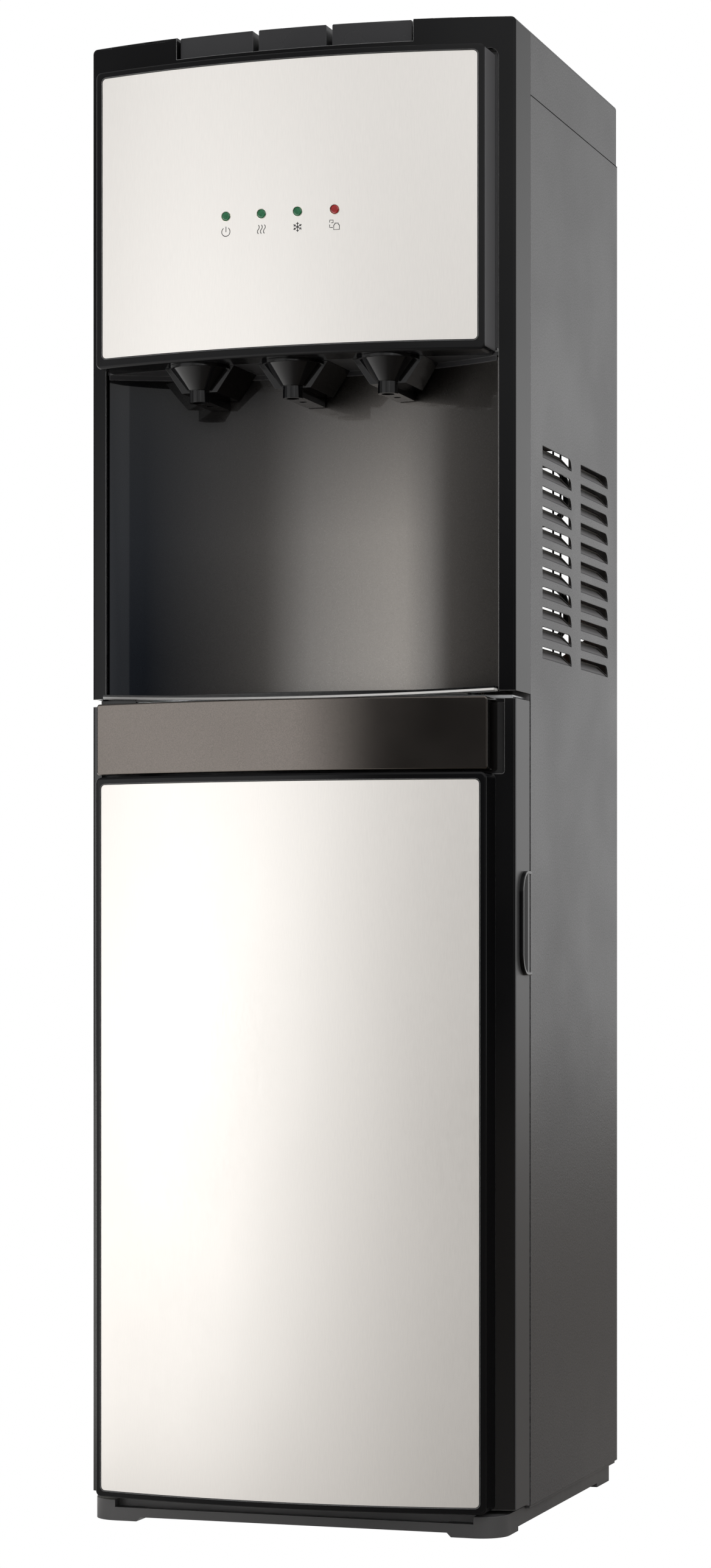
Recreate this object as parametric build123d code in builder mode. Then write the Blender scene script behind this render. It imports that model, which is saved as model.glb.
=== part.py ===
from build123d import *
from math import radians, sin, sqrt, tan
import os

# Bottom load water cooler, free-standing: a steel cabinet on a moulded base, a bowed upper
# shell with three keys and three taps, a dispensing bay, and a door over the bottle space.
# Millimetres. The origin is on the floor under the middle of the machine, +Z is up, the
# front looks along -Y and +X is the viewer's right.

os.makedirs("parts", exist_ok=True)

# Driving dimensions of the whole machine
width = 311.0
height = 1039.0
body_depth = 306.0          # middle of the bowed shells to the back edge
bezel_proud = 24.0          # how far both panel bezels stand in front of the shells
bow_radius = 600.0          # plan radius of every bowed front face
shell_reach = 59.0          # the shells wrap this far back from the middle of the bow

# Levels above the floor
foot_height = 3.0
base_top = 14.6
side_bottom = 15.2
door_bottom = 17.4
door_top = 572.8
deck_top = 575.4
housing_bottom = 577.9
bay_top = 807.4
shelf_top = 837.2
cover_depth = 45.6          # the top cover comes down this far over the cabinet
cover_seam = height - cover_depth

# Sheets and walls
sheet = 1.0
deck_sheet = 1.2
shell_wall = 3.0
bezel_wall = 2.5
skin = 0.8                  # stainless facings
joint_gap = 0.3             # shell to side panel
seat_gap = 0.2              # pieces that rest against each other
run_gap = 0.06              # radial clearance of pins and rods

# Screws used all over
screw_shank = 1.7
screw_head = 3.2
head_height = 1.2
socket_radius = 1.1
socket_depth = 0.6
lower_screw_inset = 29.5    # from the left side
lower_screw_reach = (25.0, 43.0)    # back from the middle of the bow
upper_screw_inset = (21.5, 35.5)
upper_screw_reach = 50.5

half = width / 2
back = (body_depth + bezel_proud) / 2
bezel_front = -back
bow_front = bezel_front + bezel_proud
shell_rear = bow_front + shell_reach
cabinet_front = shell_rear + joint_gap
lower_screws = [(lower_screw_inset - half, bow_front + reach) for reach in lower_screw_reach]
upper_screws = [(inset - half, bow_front + upper_screw_reach) for inset in upper_screw_inset]


def bow(x):
    """How far a bowed face has fallen back at x from the middle."""
    return bow_radius - sqrt(bow_radius ** 2 - x ** 2)


def bowed_outline(half_width, front, rear, level):
    """Plan face with a bowed front edge, straight sides and a straight rear edge."""
    side = front + bow(half_width)
    with BuildSketch(Plane.XY.offset(level)) as plan:
        with BuildLine():
            ThreePointArc((-half_width, side), (0, front), (half_width, side))
            Polyline((half_width, side), (half_width, rear), (-half_width, rear), (-half_width, side))
        make_face()
    return plan.sketch


def bowed_band(half_width, front, thickness, level):
    """Plan face of a bowed sheet: two equal arcs, one thickness apart."""
    side = front + bow(half_width)
    with BuildSketch(Plane.XY.offset(level)) as plan:
        with BuildLine():
            ThreePointArc((-half_width, side), (0, front), (half_width, side))
            Line((half_width, side), (half_width, side + thickness))
            ThreePointArc((half_width, side + thickness), (0, front + thickness),
                          (-half_width, side + thickness))
            Line((-half_width, side + thickness), (-half_width, side))
        make_face()
    return plan.sketch


def front_window(half_width, bottom, top, corner):
    """Rounded rectangle seen from the front, on the plane through the origin."""
    with BuildSketch(Plane.XZ) as window:
        with Locations((0, (bottom + top) / 2)):
            RectangleRounded(2 * half_width, top - bottom, corner)
    return window.sketch


def block(x0, x1, y0, y1, z0, z1):
    """Box between two corners, for use inside a part."""
    with BuildSketch(Plane.XY.offset(z0)) as foot:
        with Locations(((x0 + x1) / 2, (y0 + y1) / 2)):
            Rectangle(x1 - x0, y1 - y0)
    return extrude(foot.sketch, amount=z1 - z0, mode=Mode.PRIVATE)


def post(x, y, z0, z1, radius):
    """Upright round post."""
    with BuildSketch(Plane.XY.offset(z0)) as foot:
        with Locations((x, y)):
            Circle(radius)
    return extrude(foot.sketch, amount=z1 - z0, mode=Mode.PRIVATE)


def bar_x(x0, x1, y, z, radius):
    """Round bar along X."""
    with BuildSketch(Plane.YZ.offset(x0)) as end:
        with Locations((y, z)):
            Circle(radius)
    return extrude(end.sketch, amount=x1 - x0, mode=Mode.PRIVATE)


def bar_y(x, z, y0, y1, radius):
    """Round bar along Y."""
    with BuildSketch(Plane.XZ.offset(-y0)) as end:
        with Locations((x, z)):
            Circle(radius)
    return extrude(end.sketch, amount=-(y1 - y0), mode=Mode.PRIVATE)


bend_limit = 18.0


def run_radii(points, factor=0.45):
    """Bend radius at each corner of a route: what its two runs allow, up to the limit."""
    radii = []
    for before, corner, after in zip(points, points[1:], points[2:]):
        into = Vector(*corner) - Vector(*before)
        out = Vector(*after) - Vector(*corner)
        turn = radians(into.get_angle(out))
        radii.append(min(bend_limit, factor * min(into.length, out.length) / tan(turn / 2)))
    return radii


def tube(points, outer, bore=0.0):
    """Round tube along straight runs joined by tangent arcs."""
    with BuildLine() as route:
        FilletPolyline(*points, radius=run_radii(points))
    path = route.wire()
    start = Plane(origin=path @ 0, z_dir=path % 0)
    with BuildPart() as pipe:
        with BuildSketch(start):
            Circle(outer)
            if bore > 0:
                Circle(bore, mode=Mode.SUBTRACT)
        sweep(path=path)
    return pipe.part


# ---------------------------------------------------------------- base
base_half = half - 4.5
base_front = bow_front + 1.5
base_rear = back - 1.5
base_corner = 20.0
base_wall = 3.0
foot_width = 36.0
foot_length = 42.0
foot_slope = 3.0
post_inner = base_half - 20.0    # the front posts rise to the door outside this
slot_bottom = 9.5
slot_depth = 9.0
web_length = 2.5            # upright web that closes the base behind the slot


def base_outline(inset, level):
    """Base plan with large front corners and small rear corners."""
    with BuildSketch(Plane.XY.offset(level)) as plan:
        with BuildLine():
            Polyline((-base_half + inset, base_front + inset), (base_half - inset, base_front + inset),
                     (base_half - inset, base_rear - inset), (-base_half + inset, base_rear - inset),
                     close=True)
        make_face()
        fillet(plan.vertices().group_by(Axis.Y)[0], base_corner - inset)
        fillet(plan.vertices().sort_by(Axis.Y)[-2:], base_corner / 3)
    return plan.sketch


with BuildPart() as base:
    extrude(base_outline(0, foot_height), amount=base_top - foot_height)
    extrude(base_outline(base_wall, foot_height), amount=base_top - foot_height - base_wall,
            mode=Mode.SUBTRACT)
    for side in (-1, 1):
        for y0, y1 in ((base_front, base_front + foot_length), (base_rear - foot_length, base_rear)):
            inner = side * (base_half - foot_width)
            outer = side * base_half
            with BuildSketch(Plane.XZ.offset(-y0)):
                with BuildLine():
                    Polyline((outer, 0), (inner, 0), (inner - side * foot_slope, foot_height),
                             (inner - side * foot_slope, base_top - base_wall),
                             (outer, base_top - base_wall), close=True)
                make_face()
            extrude(amount=-(y1 - y0))
    extrude(base_outline(0, 0), amount=base_top, mode=Mode.INTERSECT)
    add(block(-post_inner - 1, post_inner + 1, base_front + slot_depth, base_front + slot_depth + web_length,
              foot_height, base_top - 1))
    add(block(-post_inner, post_inner, base_front - 1, base_front + slot_depth, slot_bottom, base_top + 1),
        mode=Mode.SUBTRACT)
    for x, y in lower_screws:
        add(post(x, y, base_top - base_wall - 1, base_top + 1, screw_shank + run_gap), mode=Mode.SUBTRACT)
base.part.label = "base"
export_step(base.part, "parts/base.step")

# ---------------------------------------------------------------- bottle tray
tray_half = half - 14.5
tray_front = cabinet_front + 3.0
tray_rear = back - 22.0
tray_rim = 5.0
bottle_radius = 135.0
bottle_ring = bottle_radius - 40.0

with BuildPart() as bottle_tray:
    add(block(-tray_half, tray_half, tray_front, tray_rear, base_top, base_top + tray_rim))
    add(block(-tray_half + 3, tray_half - 3, tray_front + 3, tray_rear - 3, base_top + 2,
              base_top + tray_rim), mode=Mode.SUBTRACT)
    with BuildSketch(Plane.XY.offset(base_top + 2)):
        with Locations((0, (tray_front + tray_rear) / 2)):
            Circle(bottle_ring)
            Circle(bottle_ring - 2.5, mode=Mode.SUBTRACT)
    extrude(amount=1.5)
bottle_tray.part.label = "bottle_tray"
export_step(bottle_tray.part, "parts/bottle_tray.step")

# ---------------------------------------------------------------- side panels with louvres
flange = 12.0
louvre_rows = 11
louvre_pitch = 14.1
louvre_top = 754.5
louvre_length = 80.0
louvre_height = 8.4
louvre_inset = 5.2
louvre_rise = 7.0
louvre_round = 7.5
louvre_straight = 68.0      # the flap is full height this far, then runs out to the surface
louvre_columns = (cabinet_front + 31.4, cabinet_front + 137.6)

with BuildSketch() as louvre_slot:
    with BuildLine():
        Polyline((0, -louvre_height), (0, 0), (louvre_length, 0), (louvre_length, -louvre_height),
                 close=True)
    make_face()
    fillet(louvre_slot.vertices().group_by(Axis.X)[-1].sort_by(Axis.Y)[-1], louvre_round)

with BuildPart() as louvre_flap:
    with BuildSketch(Plane.XZ):
        with BuildLine():
            Polyline((half, -louvre_height), (half - sheet, -louvre_height - sheet),
                     (half - sheet - louvre_inset, -louvre_height + louvre_rise - sheet),
                     (half - sheet - louvre_inset, -louvre_height + louvre_rise), close=True)
        make_face()
    extrude(amount=-louvre_length)
    with BuildSketch(Plane.YZ.offset(half - sheet - louvre_inset - 1)):
        with BuildLine():
            Polyline((louvre_straight, louvre_rise - louvre_height + 0.1),
                     (louvre_length + 1, louvre_rise - louvre_height + 0.1),
                     (louvre_length + 1, -louvre_height), (louvre_length - 2, -louvre_height), close=True)
        make_face()
    extrude(amount=louvre_inset + sheet + 3, mode=Mode.SUBTRACT)

louvre_spots = []
for column in louvre_columns:
    for row in range(louvre_rows):
        louvre_spots.append((column, louvre_top - row * louvre_pitch))

with BuildPart() as right_side_panel:
    add(block(half - sheet, half, cabinet_front, back, side_bottom, cover_seam - seat_gap))
    add(block(half - flange - sheet, half, cabinet_front, cabinet_front + sheet, side_bottom,
              cover_seam - seat_gap))
    add(block(half - flange - sheet, half, back - sheet, back, side_bottom, cover_seam - seat_gap))
    with BuildSketch(Plane.YZ.offset(half - sheet - 1)):
        with Locations(*louvre_spots):
            add(louvre_slot.sketch)
    extrude(amount=sheet + 2, mode=Mode.SUBTRACT)
    with Locations(*[(0, y, z) for y, z in louvre_spots]):
        add(louvre_flap.part)
right_side_panel.part.label = "right_side_panel"
export_step(right_side_panel.part, "parts/right_side_panel.step")

with BuildPart() as left_side_panel:
    mirror(right_side_panel.part, about=Plane.YZ)
left_side_panel.part.label = "left_side_panel"
export_step(left_side_panel.part, "parts/left_side_panel.step")

# ---------------------------------------------------------------- rear panel
rear_inner = back - 19.0
rear_outer = rear_inner + sheet
rear_half = half - sheet - seat_gap
rear_top = cover_seam - 6.0
window_inner = 8.0          # the windows over the compressor, either side of a middle post
window_outer = half - 33.0
window_levels = (622.0, 778.0)
window_corner = 8.0
switch_level = 900.0
switch_x = (-112.0, -84.0)
switch_hole = (13.4, 21.4)
drain_x = 86.0
drain_level = 868.0
drain_hole = 9.0
gland_x = 21.5 - half
gland_level = 600.0
gland_hole = 8.0
pipe_hole = 7.0
gas_spot = (half - 25.0, 640.0)
liquid_spot = (half - 25.0, 600.0)
serpentine_rows = 16
row_pitch = 45.15
row_low = 137.05
clip_x = 64.0
clip_levels = (row_low + row_pitch / 2, row_low + (serpentine_rows - 1.5) * row_pitch)
clip_reach = 4.4
clip_half = (5.0, 4.0)

with BuildPart() as rear_panel:
    add(block(-rear_half, rear_half, rear_inner, rear_outer, base_top, rear_top))
    for side in (-1, 1):
        x0, x1 = sorted((side * rear_half, side * (rear_half - sheet)))
        add(block(x0, x1, rear_inner, back - sheet - seat_gap, base_top, rear_top))
    with BuildSketch(Plane.XZ.offset(-rear_inner + 1)):
        for side in (-1, 1):
            with Locations((side * (window_inner + window_outer) / 2, sum(window_levels) / 2)):
                RectangleRounded(window_outer - window_inner, window_levels[1] - window_levels[0],
                                 window_corner)
        for x in switch_x:
            with Locations((x, switch_level)):
                Rectangle(*switch_hole)
        with Locations((drain_x, drain_level)):
            Circle(drain_hole)
        with Locations((gland_x, gland_level)):
            Circle(gland_hole)
        with Locations(gas_spot, liquid_spot):
            Circle(pipe_hole)
    extrude(amount=-(sheet + 2), mode=Mode.SUBTRACT)
    for x in (-clip_x, clip_x):
        for z in clip_levels:
            add(block(x - clip_half[0], x + clip_half[0], rear_outer - 0.5, rear_outer + clip_reach,
                      z - clip_half[1], z + clip_half[1]))
rear_panel.part.label = "rear_panel"
export_step(rear_panel.part, "parts/rear_panel.step")

# ---------------------------------------------------------------- mid deck
deck_setback = 8.0          # front edge of the deck behind the bowed face
deck_half = half - 4.1
deck_lip = 2.2
hinge_notch = (bow_front + 19.4, bow_front + 45.0)
hose_hole_x = 29.5 - half
hose_hole_y = rear_inner - 28.0
hose_hole = 9.0

with BuildPart() as mid_deck:
    extrude(bowed_outline(deck_half, bow_front + deck_setback, cabinet_front - 0.3, deck_top - deck_sheet),
            amount=deck_sheet)
    extrude(bowed_band(deck_half, bow_front + deck_setback, deck_sheet, deck_top - deck_lip), amount=deck_lip)
    add(block(-(half - flange - sheet - seat_gap), half - flange - sheet - seat_gap, cabinet_front - 1,
              cabinet_front + 2, deck_top - deck_sheet, deck_top))
    add(block(-(half - sheet - seat_gap), half - sheet - seat_gap, cabinet_front + sheet + seat_gap,
              rear_inner - seat_gap, deck_top - deck_sheet, deck_top))
    add(block(-half, hinge_notch[0], bow_front, hinge_notch[1], deck_top - deck_lip - 1, deck_top + 1),
        mode=Mode.SUBTRACT)
    add(post(hose_hole_x, hose_hole_y, deck_top - deck_sheet - 1, deck_top + 1, hose_hole),
        mode=Mode.SUBTRACT)
    for x, y in upper_screws:
        add(post(x, y, deck_top - deck_sheet - 1, deck_top + 1, screw_shank + run_gap), mode=Mode.SUBTRACT)
mid_deck.part.label = "mid_deck"
export_step(mid_deck.part, "parts/mid_deck.step")

# ---------------------------------------------------------------- top cover
cover_wall = 2.5
cover_round = 3.5
cover_lip = 8.0

with BuildPart() as top_cover:
    add(block(-half, half, cabinet_front, back, cover_seam, height))
    fillet(top_cover.edges().filter_by(Axis.Z).group_by(Axis.Y)[-1], cover_round)
    fillet(top_cover.faces().sort_by(Axis.Z)[-1].edges().sort_by(Axis.Y)[1:], cover_round)
    add(block(-half + cover_wall, half - cover_wall, cabinet_front - 1, back - cover_wall, cover_seam - 1,
              height - shell_wall), mode=Mode.SUBTRACT)
    for side in (-1, 1):
        x0, x1 = sorted((side * (half - sheet - seat_gap), side * (half - sheet - 3.0)))
        add(block(x0, x1, cabinet_front + 4, rear_inner - 1, cover_seam - cover_lip, cover_seam + 4))
    add(block(-half + 20, half - 20, back - cover_wall - 1, back - cover_wall + 0.5, rear_top,
              cover_seam + 4))
top_cover.part.label = "top_cover"
export_step(top_cover.part, "parts/top_cover.step")

# ---------------------------------------------------------------- front housing
opening_half = half - 11.3
opening_top = height - 21.8
opening_corner = 6.0
side_round = 2.0
top_round = 3.5
lip_top = height - 15.5
pocket_half = 86.6
pocket_rear = shell_rear - 10.0
pivot_y = pocket_rear - 4.0
pivot_z = height - 9.0
pivot_radius = 1.5
key_inner_edge = 24.7       # the middle key ends here
key_next_edge = 29.0        # the outer keys start here
rib_half = 1.5
rib_reach = 8.0

with BuildPart() as front_housing:
    extrude(bowed_outline(half, bow_front, shell_rear, housing_bottom), amount=height - housing_bottom)
    fillet(front_housing.edges().filter_by(Axis.Y).group_by(Axis.Z)[-1], top_round)
    fillet(front_housing.edges().filter_by(Axis.Z).group_by(Axis.Y)[0], side_round)
    extrude(bowed_outline(half - shell_wall, bow_front + shell_wall, shell_rear + 1, housing_bottom - 1),
            amount=height - shell_wall - housing_bottom + 1, mode=Mode.SUBTRACT)
    extrude(front_window(opening_half, housing_bottom - 20, opening_top, opening_corner), amount=back + 10,
            mode=Mode.SUBTRACT)
    add(block(-pocket_half, pocket_half, bow_front - 1, pocket_rear, lip_top, height + 1), mode=Mode.SUBTRACT)
    add(block(-pocket_half - 5, pocket_half + 5, pocket_rear, pocket_rear + 2, lip_top - 6, height - 1))
    for side in (-1, 1):
        x0, x1 = sorted((side * pocket_half, side * (pocket_half + 2)))
        add(block(x0, x1, bow_front + bow(pocket_half) + 1, pocket_rear + 1, lip_top - 6, height - 1))
        x0, x1 = sorted((side * pocket_half, side * (pocket_half + 5)))
        add(block(x0, x1, pocket_rear - rib_reach, pocket_rear + 1, lip_top + 1, height - 1))
        rib_x = side * (key_inner_edge + key_next_edge) / 2
        add(block(rib_x - rib_half, rib_x + rib_half, pocket_rear - rib_reach, pocket_rear + 1, lip_top + 1,
                  pivot_z + 4))
    add(bar_x(-pocket_half - 4, pocket_half + 4, pivot_y, pivot_z, pivot_radius + run_gap),
        mode=Mode.SUBTRACT)
front_housing.part.label = "front_housing"
export_step(front_housing.part, "parts/front_housing.step")

# ---------------------------------------------------------------- key pivot rod
with BuildPart() as key_pivot_rod:
    add(bar_x(-pocket_half - 3.5, pocket_half + 3.5, pivot_y, pivot_z, pivot_radius))
key_pivot_rod.part.label = "key_pivot_rod"
export_step(key_pivot_rod.part, "parts/key_pivot_rod.step")

# ---------------------------------------------------------------- keys
key_setback = 3.4
key_rear = pocket_rear - 0.6
key_bottom = height - 18.0
key_wall = 2.2
key_outer_edge = 84.7
key_round = 1.2
rod_y = bow_front + 14.0
rod_radius = 2.5
rod_top = key_bottom + 1.9
rod_bottom = bay_top + 10.6


def push_key(x0, x1, rod_x):
    """Hollow key hinged on the rod, with a boss over its push rod."""
    front = bow_front + key_setback
    with BuildPart() as hollow:
        extrude(bowed_outline(key_outer_edge + 5, front + key_wall, pivot_y - 4, key_bottom - 1),
                amount=height - key_wall - key_bottom + 1)
        add(block(x0 + key_wall, x1 - key_wall, front, key_rear, key_bottom - 1, height), mode=Mode.INTERSECT)
    with BuildPart() as key:
        extrude(bowed_outline(key_outer_edge + 5, front, key_rear, key_bottom), amount=height - key_bottom)
        add(block(x0, x1, front - 5, key_rear, key_bottom, height), mode=Mode.INTERSECT)
        fillet(key.faces().sort_by(Axis.Z)[-1].edges(), key_round)
        with BuildSketch(Plane.YZ.offset(x0 - 1)):
            with BuildLine():
                Polyline((pivot_y - 8, key_bottom - 1), (pivot_y - 8, key_bottom + 1),
                         (pivot_y - 4, pivot_z - 3.8), (pivot_y + 1, pivot_z - 3.8),
                         (key_rear + 1, pivot_z - 1.0), (key_rear + 1, key_bottom - 1), close=True)
            make_face()
        extrude(amount=x1 - x0 + 2, mode=Mode.SUBTRACT)
        add(hollow.part, mode=Mode.SUBTRACT)
        add(post(rod_x, rod_y, rod_top + 0.1, height - key_wall + 0.5, rod_radius + 1.5))
        add(bar_x(x0 - 1, x1 + 1, pivot_y, pivot_z, pivot_radius + run_gap), mode=Mode.SUBTRACT)
    return key.part


tap_spacing = 69.0

left_key = push_key(-key_outer_edge, -key_next_edge, -tap_spacing)
left_key.label = "left_key"
export_step(left_key, "parts/left_key.step")

middle_key = push_key(-key_inner_edge, key_inner_edge, 0)
middle_key.label = "middle_key"
export_step(middle_key, "parts/middle_key.step")

right_key = push_key(key_next_edge, key_outer_edge, tap_spacing)
right_key.label = "right_key"
export_step(right_key, "parts/right_key.step")

# ---------------------------------------------------------------- push rods and their guide
guide_level = cover_seam - 31.4
guide_height = 6.0
guide_beam = (14.0, 20.0)   # the beam lies this far behind the rods
guide_boss = 9.0
guide_tab = (12.0, 12.0)    # its end tabs reach this far back and down


def push_rod(x):
    """Valve rod from the key down into its tap."""
    with BuildPart() as rod:
        add(post(x, rod_y, rod_bottom, rod_top, rod_radius))
        fillet(rod.edges().filter_by(GeomType.CIRCLE), 0.6)
    return rod.part


left_push_rod = push_rod(-tap_spacing)
left_push_rod.label = "left_push_rod"
export_step(left_push_rod, "parts/left_push_rod.step")

middle_push_rod = push_rod(0)
middle_push_rod.label = "middle_push_rod"
export_step(middle_push_rod, "parts/middle_push_rod.step")

right_push_rod = push_rod(tap_spacing)
right_push_rod.label = "right_push_rod"
export_step(right_push_rod, "parts/right_push_rod.step")

with BuildPart() as rod_guide:
    guide_half = half - shell_wall - seat_gap
    add(block(-guide_half, guide_half, rod_y + guide_beam[0], rod_y + guide_beam[1], guide_level,
              guide_level + guide_height))
    for x in (-tap_spacing, 0, tap_spacing):
        add(block(x - guide_boss, x + guide_boss, rod_y - rod_radius - 3.5, rod_y + guide_beam[1],
                  guide_level, guide_level + guide_height))
        add(post(x, rod_y, guide_level - 1, guide_level + guide_height + 1, rod_radius + run_gap),
            mode=Mode.SUBTRACT)
    for side in (-1, 1):
        x0, x1 = sorted((side * guide_half, side * (guide_half - 2.3)))
        add(block(x0, x1, rod_y + guide_beam[0], rod_y + guide_beam[1] + guide_tab[0],
                  guide_level - guide_tab[1], guide_level + guide_height))
rod_guide.part.label = "rod_guide"
export_step(rod_guide.part, "parts/rod_guide.step")

# ---------------------------------------------------------------- upper bezel
bezel_half = opening_half - 2.4
bezel_bottom = bay_top
bezel_top = opening_top - 2.3
bezel_corner = 4.0
bezel_round = 1.6
bezel_depth = bezel_proud + 5.2
bezel_face = 3.0
recess_depth = 1.2
panel_groove = 0.6
panel_corner = 2.8
upper_panel_half = bezel_half - 5.3
upper_panel_bottom = bezel_bottom + 7.1
upper_panel_top = bezel_top - 4.8
led_x = (-39.4, -13.1, 13.1, 39.4)
led_level = 905.5
led_radius = 3.1
led_hole = 3.3
board_front = bezel_front + 12.6
board_half = 60.0
board_post_x = 54.0


def bezel_box(half_width, front, depth, bottom, top, corner):
    """Bowed slab cut to a rounded rectangle in elevation."""
    with BuildPart() as slab:
        extrude(bowed_band(half_width + 1, front, depth, bottom - 1), amount=top - bottom + 2)
        extrude(front_window(half_width, bottom, top, corner), amount=2 * back, both=True,
                mode=Mode.INTERSECT)
    return slab.part


upper_outer = bezel_box(bezel_half, bezel_front, bezel_depth, bezel_bottom, bezel_top, bezel_corner)
upper_inner = bezel_box(bezel_half - bezel_wall, bezel_front + bezel_face, bezel_depth,
                        bezel_bottom + bezel_wall, bezel_top - bezel_wall, bezel_corner - 1)
upper_recess = bezel_box(upper_panel_half + panel_groove, bezel_front - 5, recess_depth + 5,
                         upper_panel_bottom - panel_groove, upper_panel_top + panel_groove,
                         panel_corner + panel_groove)
upper_flange = bezel_box(bezel_half + 8.5, bow_front + shell_wall + seat_gap, 2.0, bezel_bottom + 5,
                         bezel_top, 2.0)

with BuildPart() as upper_bezel:
    add(upper_outer)
    fillet(upper_bezel.faces().sort_by(Axis.Y)[0].edges(), bezel_round)
    add(upper_flange)
    add(upper_inner, mode=Mode.SUBTRACT)
    add(upper_recess, mode=Mode.SUBTRACT)
    extrude(bowed_band(bezel_half + 1, bow_front + 2.3, 10, bezel_bottom - 1), amount=bezel_wall + 2,
            mode=Mode.SUBTRACT)
    for x in led_x:
        add(bar_y(x, led_level, bezel_front - 1, bezel_front + 8, led_hole), mode=Mode.SUBTRACT)
    for x in (-board_post_x, board_post_x):
        add(bar_y(x, led_level + 12, bezel_front + bezel_face + 1, board_front - 0.1, 3.0))
upper_bezel.part.label = "upper_bezel"
export_step(upper_bezel.part, "parts/upper_bezel.step")

# ---------------------------------------------------------------- upper steel panel
upper_skin = bezel_box(upper_panel_half, bezel_front + recess_depth - skin - 0.1, skin, upper_panel_bottom,
                       upper_panel_top, panel_corner)
with BuildPart() as upper_panel:
    add(upper_skin)
    for x in led_x:
        add(bar_y(x, led_level, bezel_front - 1, bezel_front + 8, led_hole), mode=Mode.SUBTRACT)
upper_panel.part.label = "upper_panel"
export_step(upper_panel.part, "parts/upper_panel.step")

# ---------------------------------------------------------------- indicator lamps and their board


def indicator(x):
    """Lamp from the panel face back to the board, with a collar behind the bezel."""
    tip = bezel_front + bow(x)
    with BuildPart() as lamp:
        add(bar_y(x, led_level, tip, board_front - 0.1, led_radius))
        fillet(lamp.edges().filter_by(GeomType.CIRCLE).group_by(Axis.Y)[0], 1.0)
        add(bar_y(x, led_level, board_front - 2.6, board_front - 0.1, led_radius + 0.7))
    return lamp.part


with BuildPart() as green_lamps:
    for x in led_x[:3]:
        add(indicator(x))
green_lamps.part.label = "green_lamps"
export_step(green_lamps.part, "parts/green_lamps.step")

red_lamp = indicator(led_x[3])
red_lamp.label = "red_lamp"
export_step(red_lamp, "parts/red_lamp.step")

with BuildPart() as indicator_board:
    add(block(-board_half, board_half, board_front, board_front + 1.6, led_level - 12, led_level + 18))
indicator_board.part.label = "indicator_board"
export_step(indicator_board.part, "parts/indicator_board.step")

# ---------------------------------------------------------------- bay liner
liner_half = opening_half - 0.4
liner_mid = bow_front + 57.0
liner_end = bow_front + bow(liner_half) + 3.2
liner_wall = 2.0
liner_bottom = 577.6
liner_flange = 7.7


def hollow(x):
    """How far the bay wall has come forward at x from its deepest line."""
    fall = liner_mid - liner_end
    radius = (liner_half ** 2 + fall ** 2) / (2 * fall)
    return radius - sqrt(radius ** 2 - x ** 2)


def concave_band(half_width, front_gap, thickness, level):
    """Plan band along the bay wall, its front face front_gap ahead of the wall."""
    mid = liner_mid - front_gap
    end = mid - hollow(half_width)
    with BuildSketch(Plane.XY.offset(level)) as plan:
        with BuildLine():
            ThreePointArc((-half_width, end), (0, mid), (half_width, end))
            Line((half_width, end), (half_width, end + thickness))
            ThreePointArc((half_width, end + thickness), (0, mid + thickness), (-half_width, end + thickness))
            Line((-half_width, end + thickness), (-half_width, end))
        make_face()
    return plan.sketch


with BuildPart() as bay_liner:
    extrude(bowed_band(liner_half + liner_flange, bow_front + shell_wall + seat_gap, liner_wall,
                       housing_bottom + 0.4), amount=bay_top - 1.5 - housing_bottom)
    add(block(-liner_half + 1, liner_half - 1, bow_front, 0, liner_bottom - 1, bay_top + 1),
        mode=Mode.SUBTRACT)
    extrude(concave_band(liner_half, 0, liner_wall, liner_bottom), amount=bay_top - 0.1 - liner_bottom)
bay_liner.part.label = "bay_liner"
export_step(bay_liner.part, "parts/bay_liner.step")

# ---------------------------------------------------------------- tap plate
tap_y = bow_front + 5.0
plate_thickness = 2.5
rim_drop = 3.5
block_half = 13.8
block_front = bow_front + 10.0
block_rear = bow_front + 33.0
block_top = bay_top + 18.6
block_gap = 0.3

with BuildPart() as tap_plate:
    with BuildSketch(Plane.XY.offset(bay_top)):
        with BuildLine():
            ThreePointArc((-liner_half, bow_front + 2.5 + bow(liner_half)), (0, bow_front + 2.5),
                          (liner_half, bow_front + 2.5 + bow(liner_half)))
            Line((liner_half, bow_front + 2.5 + bow(liner_half)), (liner_half, liner_end + liner_wall))
            ThreePointArc((liner_half, liner_end + liner_wall), (0, liner_mid + liner_wall),
                          (-liner_half, liner_end + liner_wall))
            Line((-liner_half, liner_end + liner_wall), (-liner_half, bow_front + 2.5 + bow(liner_half)))
        make_face()
    extrude(amount=plate_thickness)
    extrude(concave_band(liner_half - 1.5, 2.0, 1.8, bay_top - rim_drop), amount=rim_drop)
    for x in (-tap_spacing, 0, tap_spacing):
        add(block(x - block_half - block_gap, x + block_half + block_gap, block_front - block_gap,
                  block_rear + block_gap, bay_top - 1, bay_top + plate_thickness + 1), mode=Mode.SUBTRACT)
tap_plate.part.label = "tap_plate"
export_step(tap_plate.part, "parts/tap_plate.step")

# ---------------------------------------------------------------- taps
spout_bottom = 782.0
spout_top = 790.5
spout_radius = 7.0
spout_bore = 4.5
cone_foot = 8.5
cone_head = 19.8
cap_radius = 21.6
cap_level = 805.2
tap_top = bay_top - 0.1
hull_bottom = 789.4
hull_foot = 13.0            # half widths of the hull at its bottom and at the ceiling
hull_head = 25.5
keel_bottom = 782.8
keel_half = 6.8
wall_gap = 2.3
bleed_y = tap_y + 21.8
bleed_radius = 2.6
barb_level = 817.0
barb_radius = 3.2
barb_end = block_rear + 10.0


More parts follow.
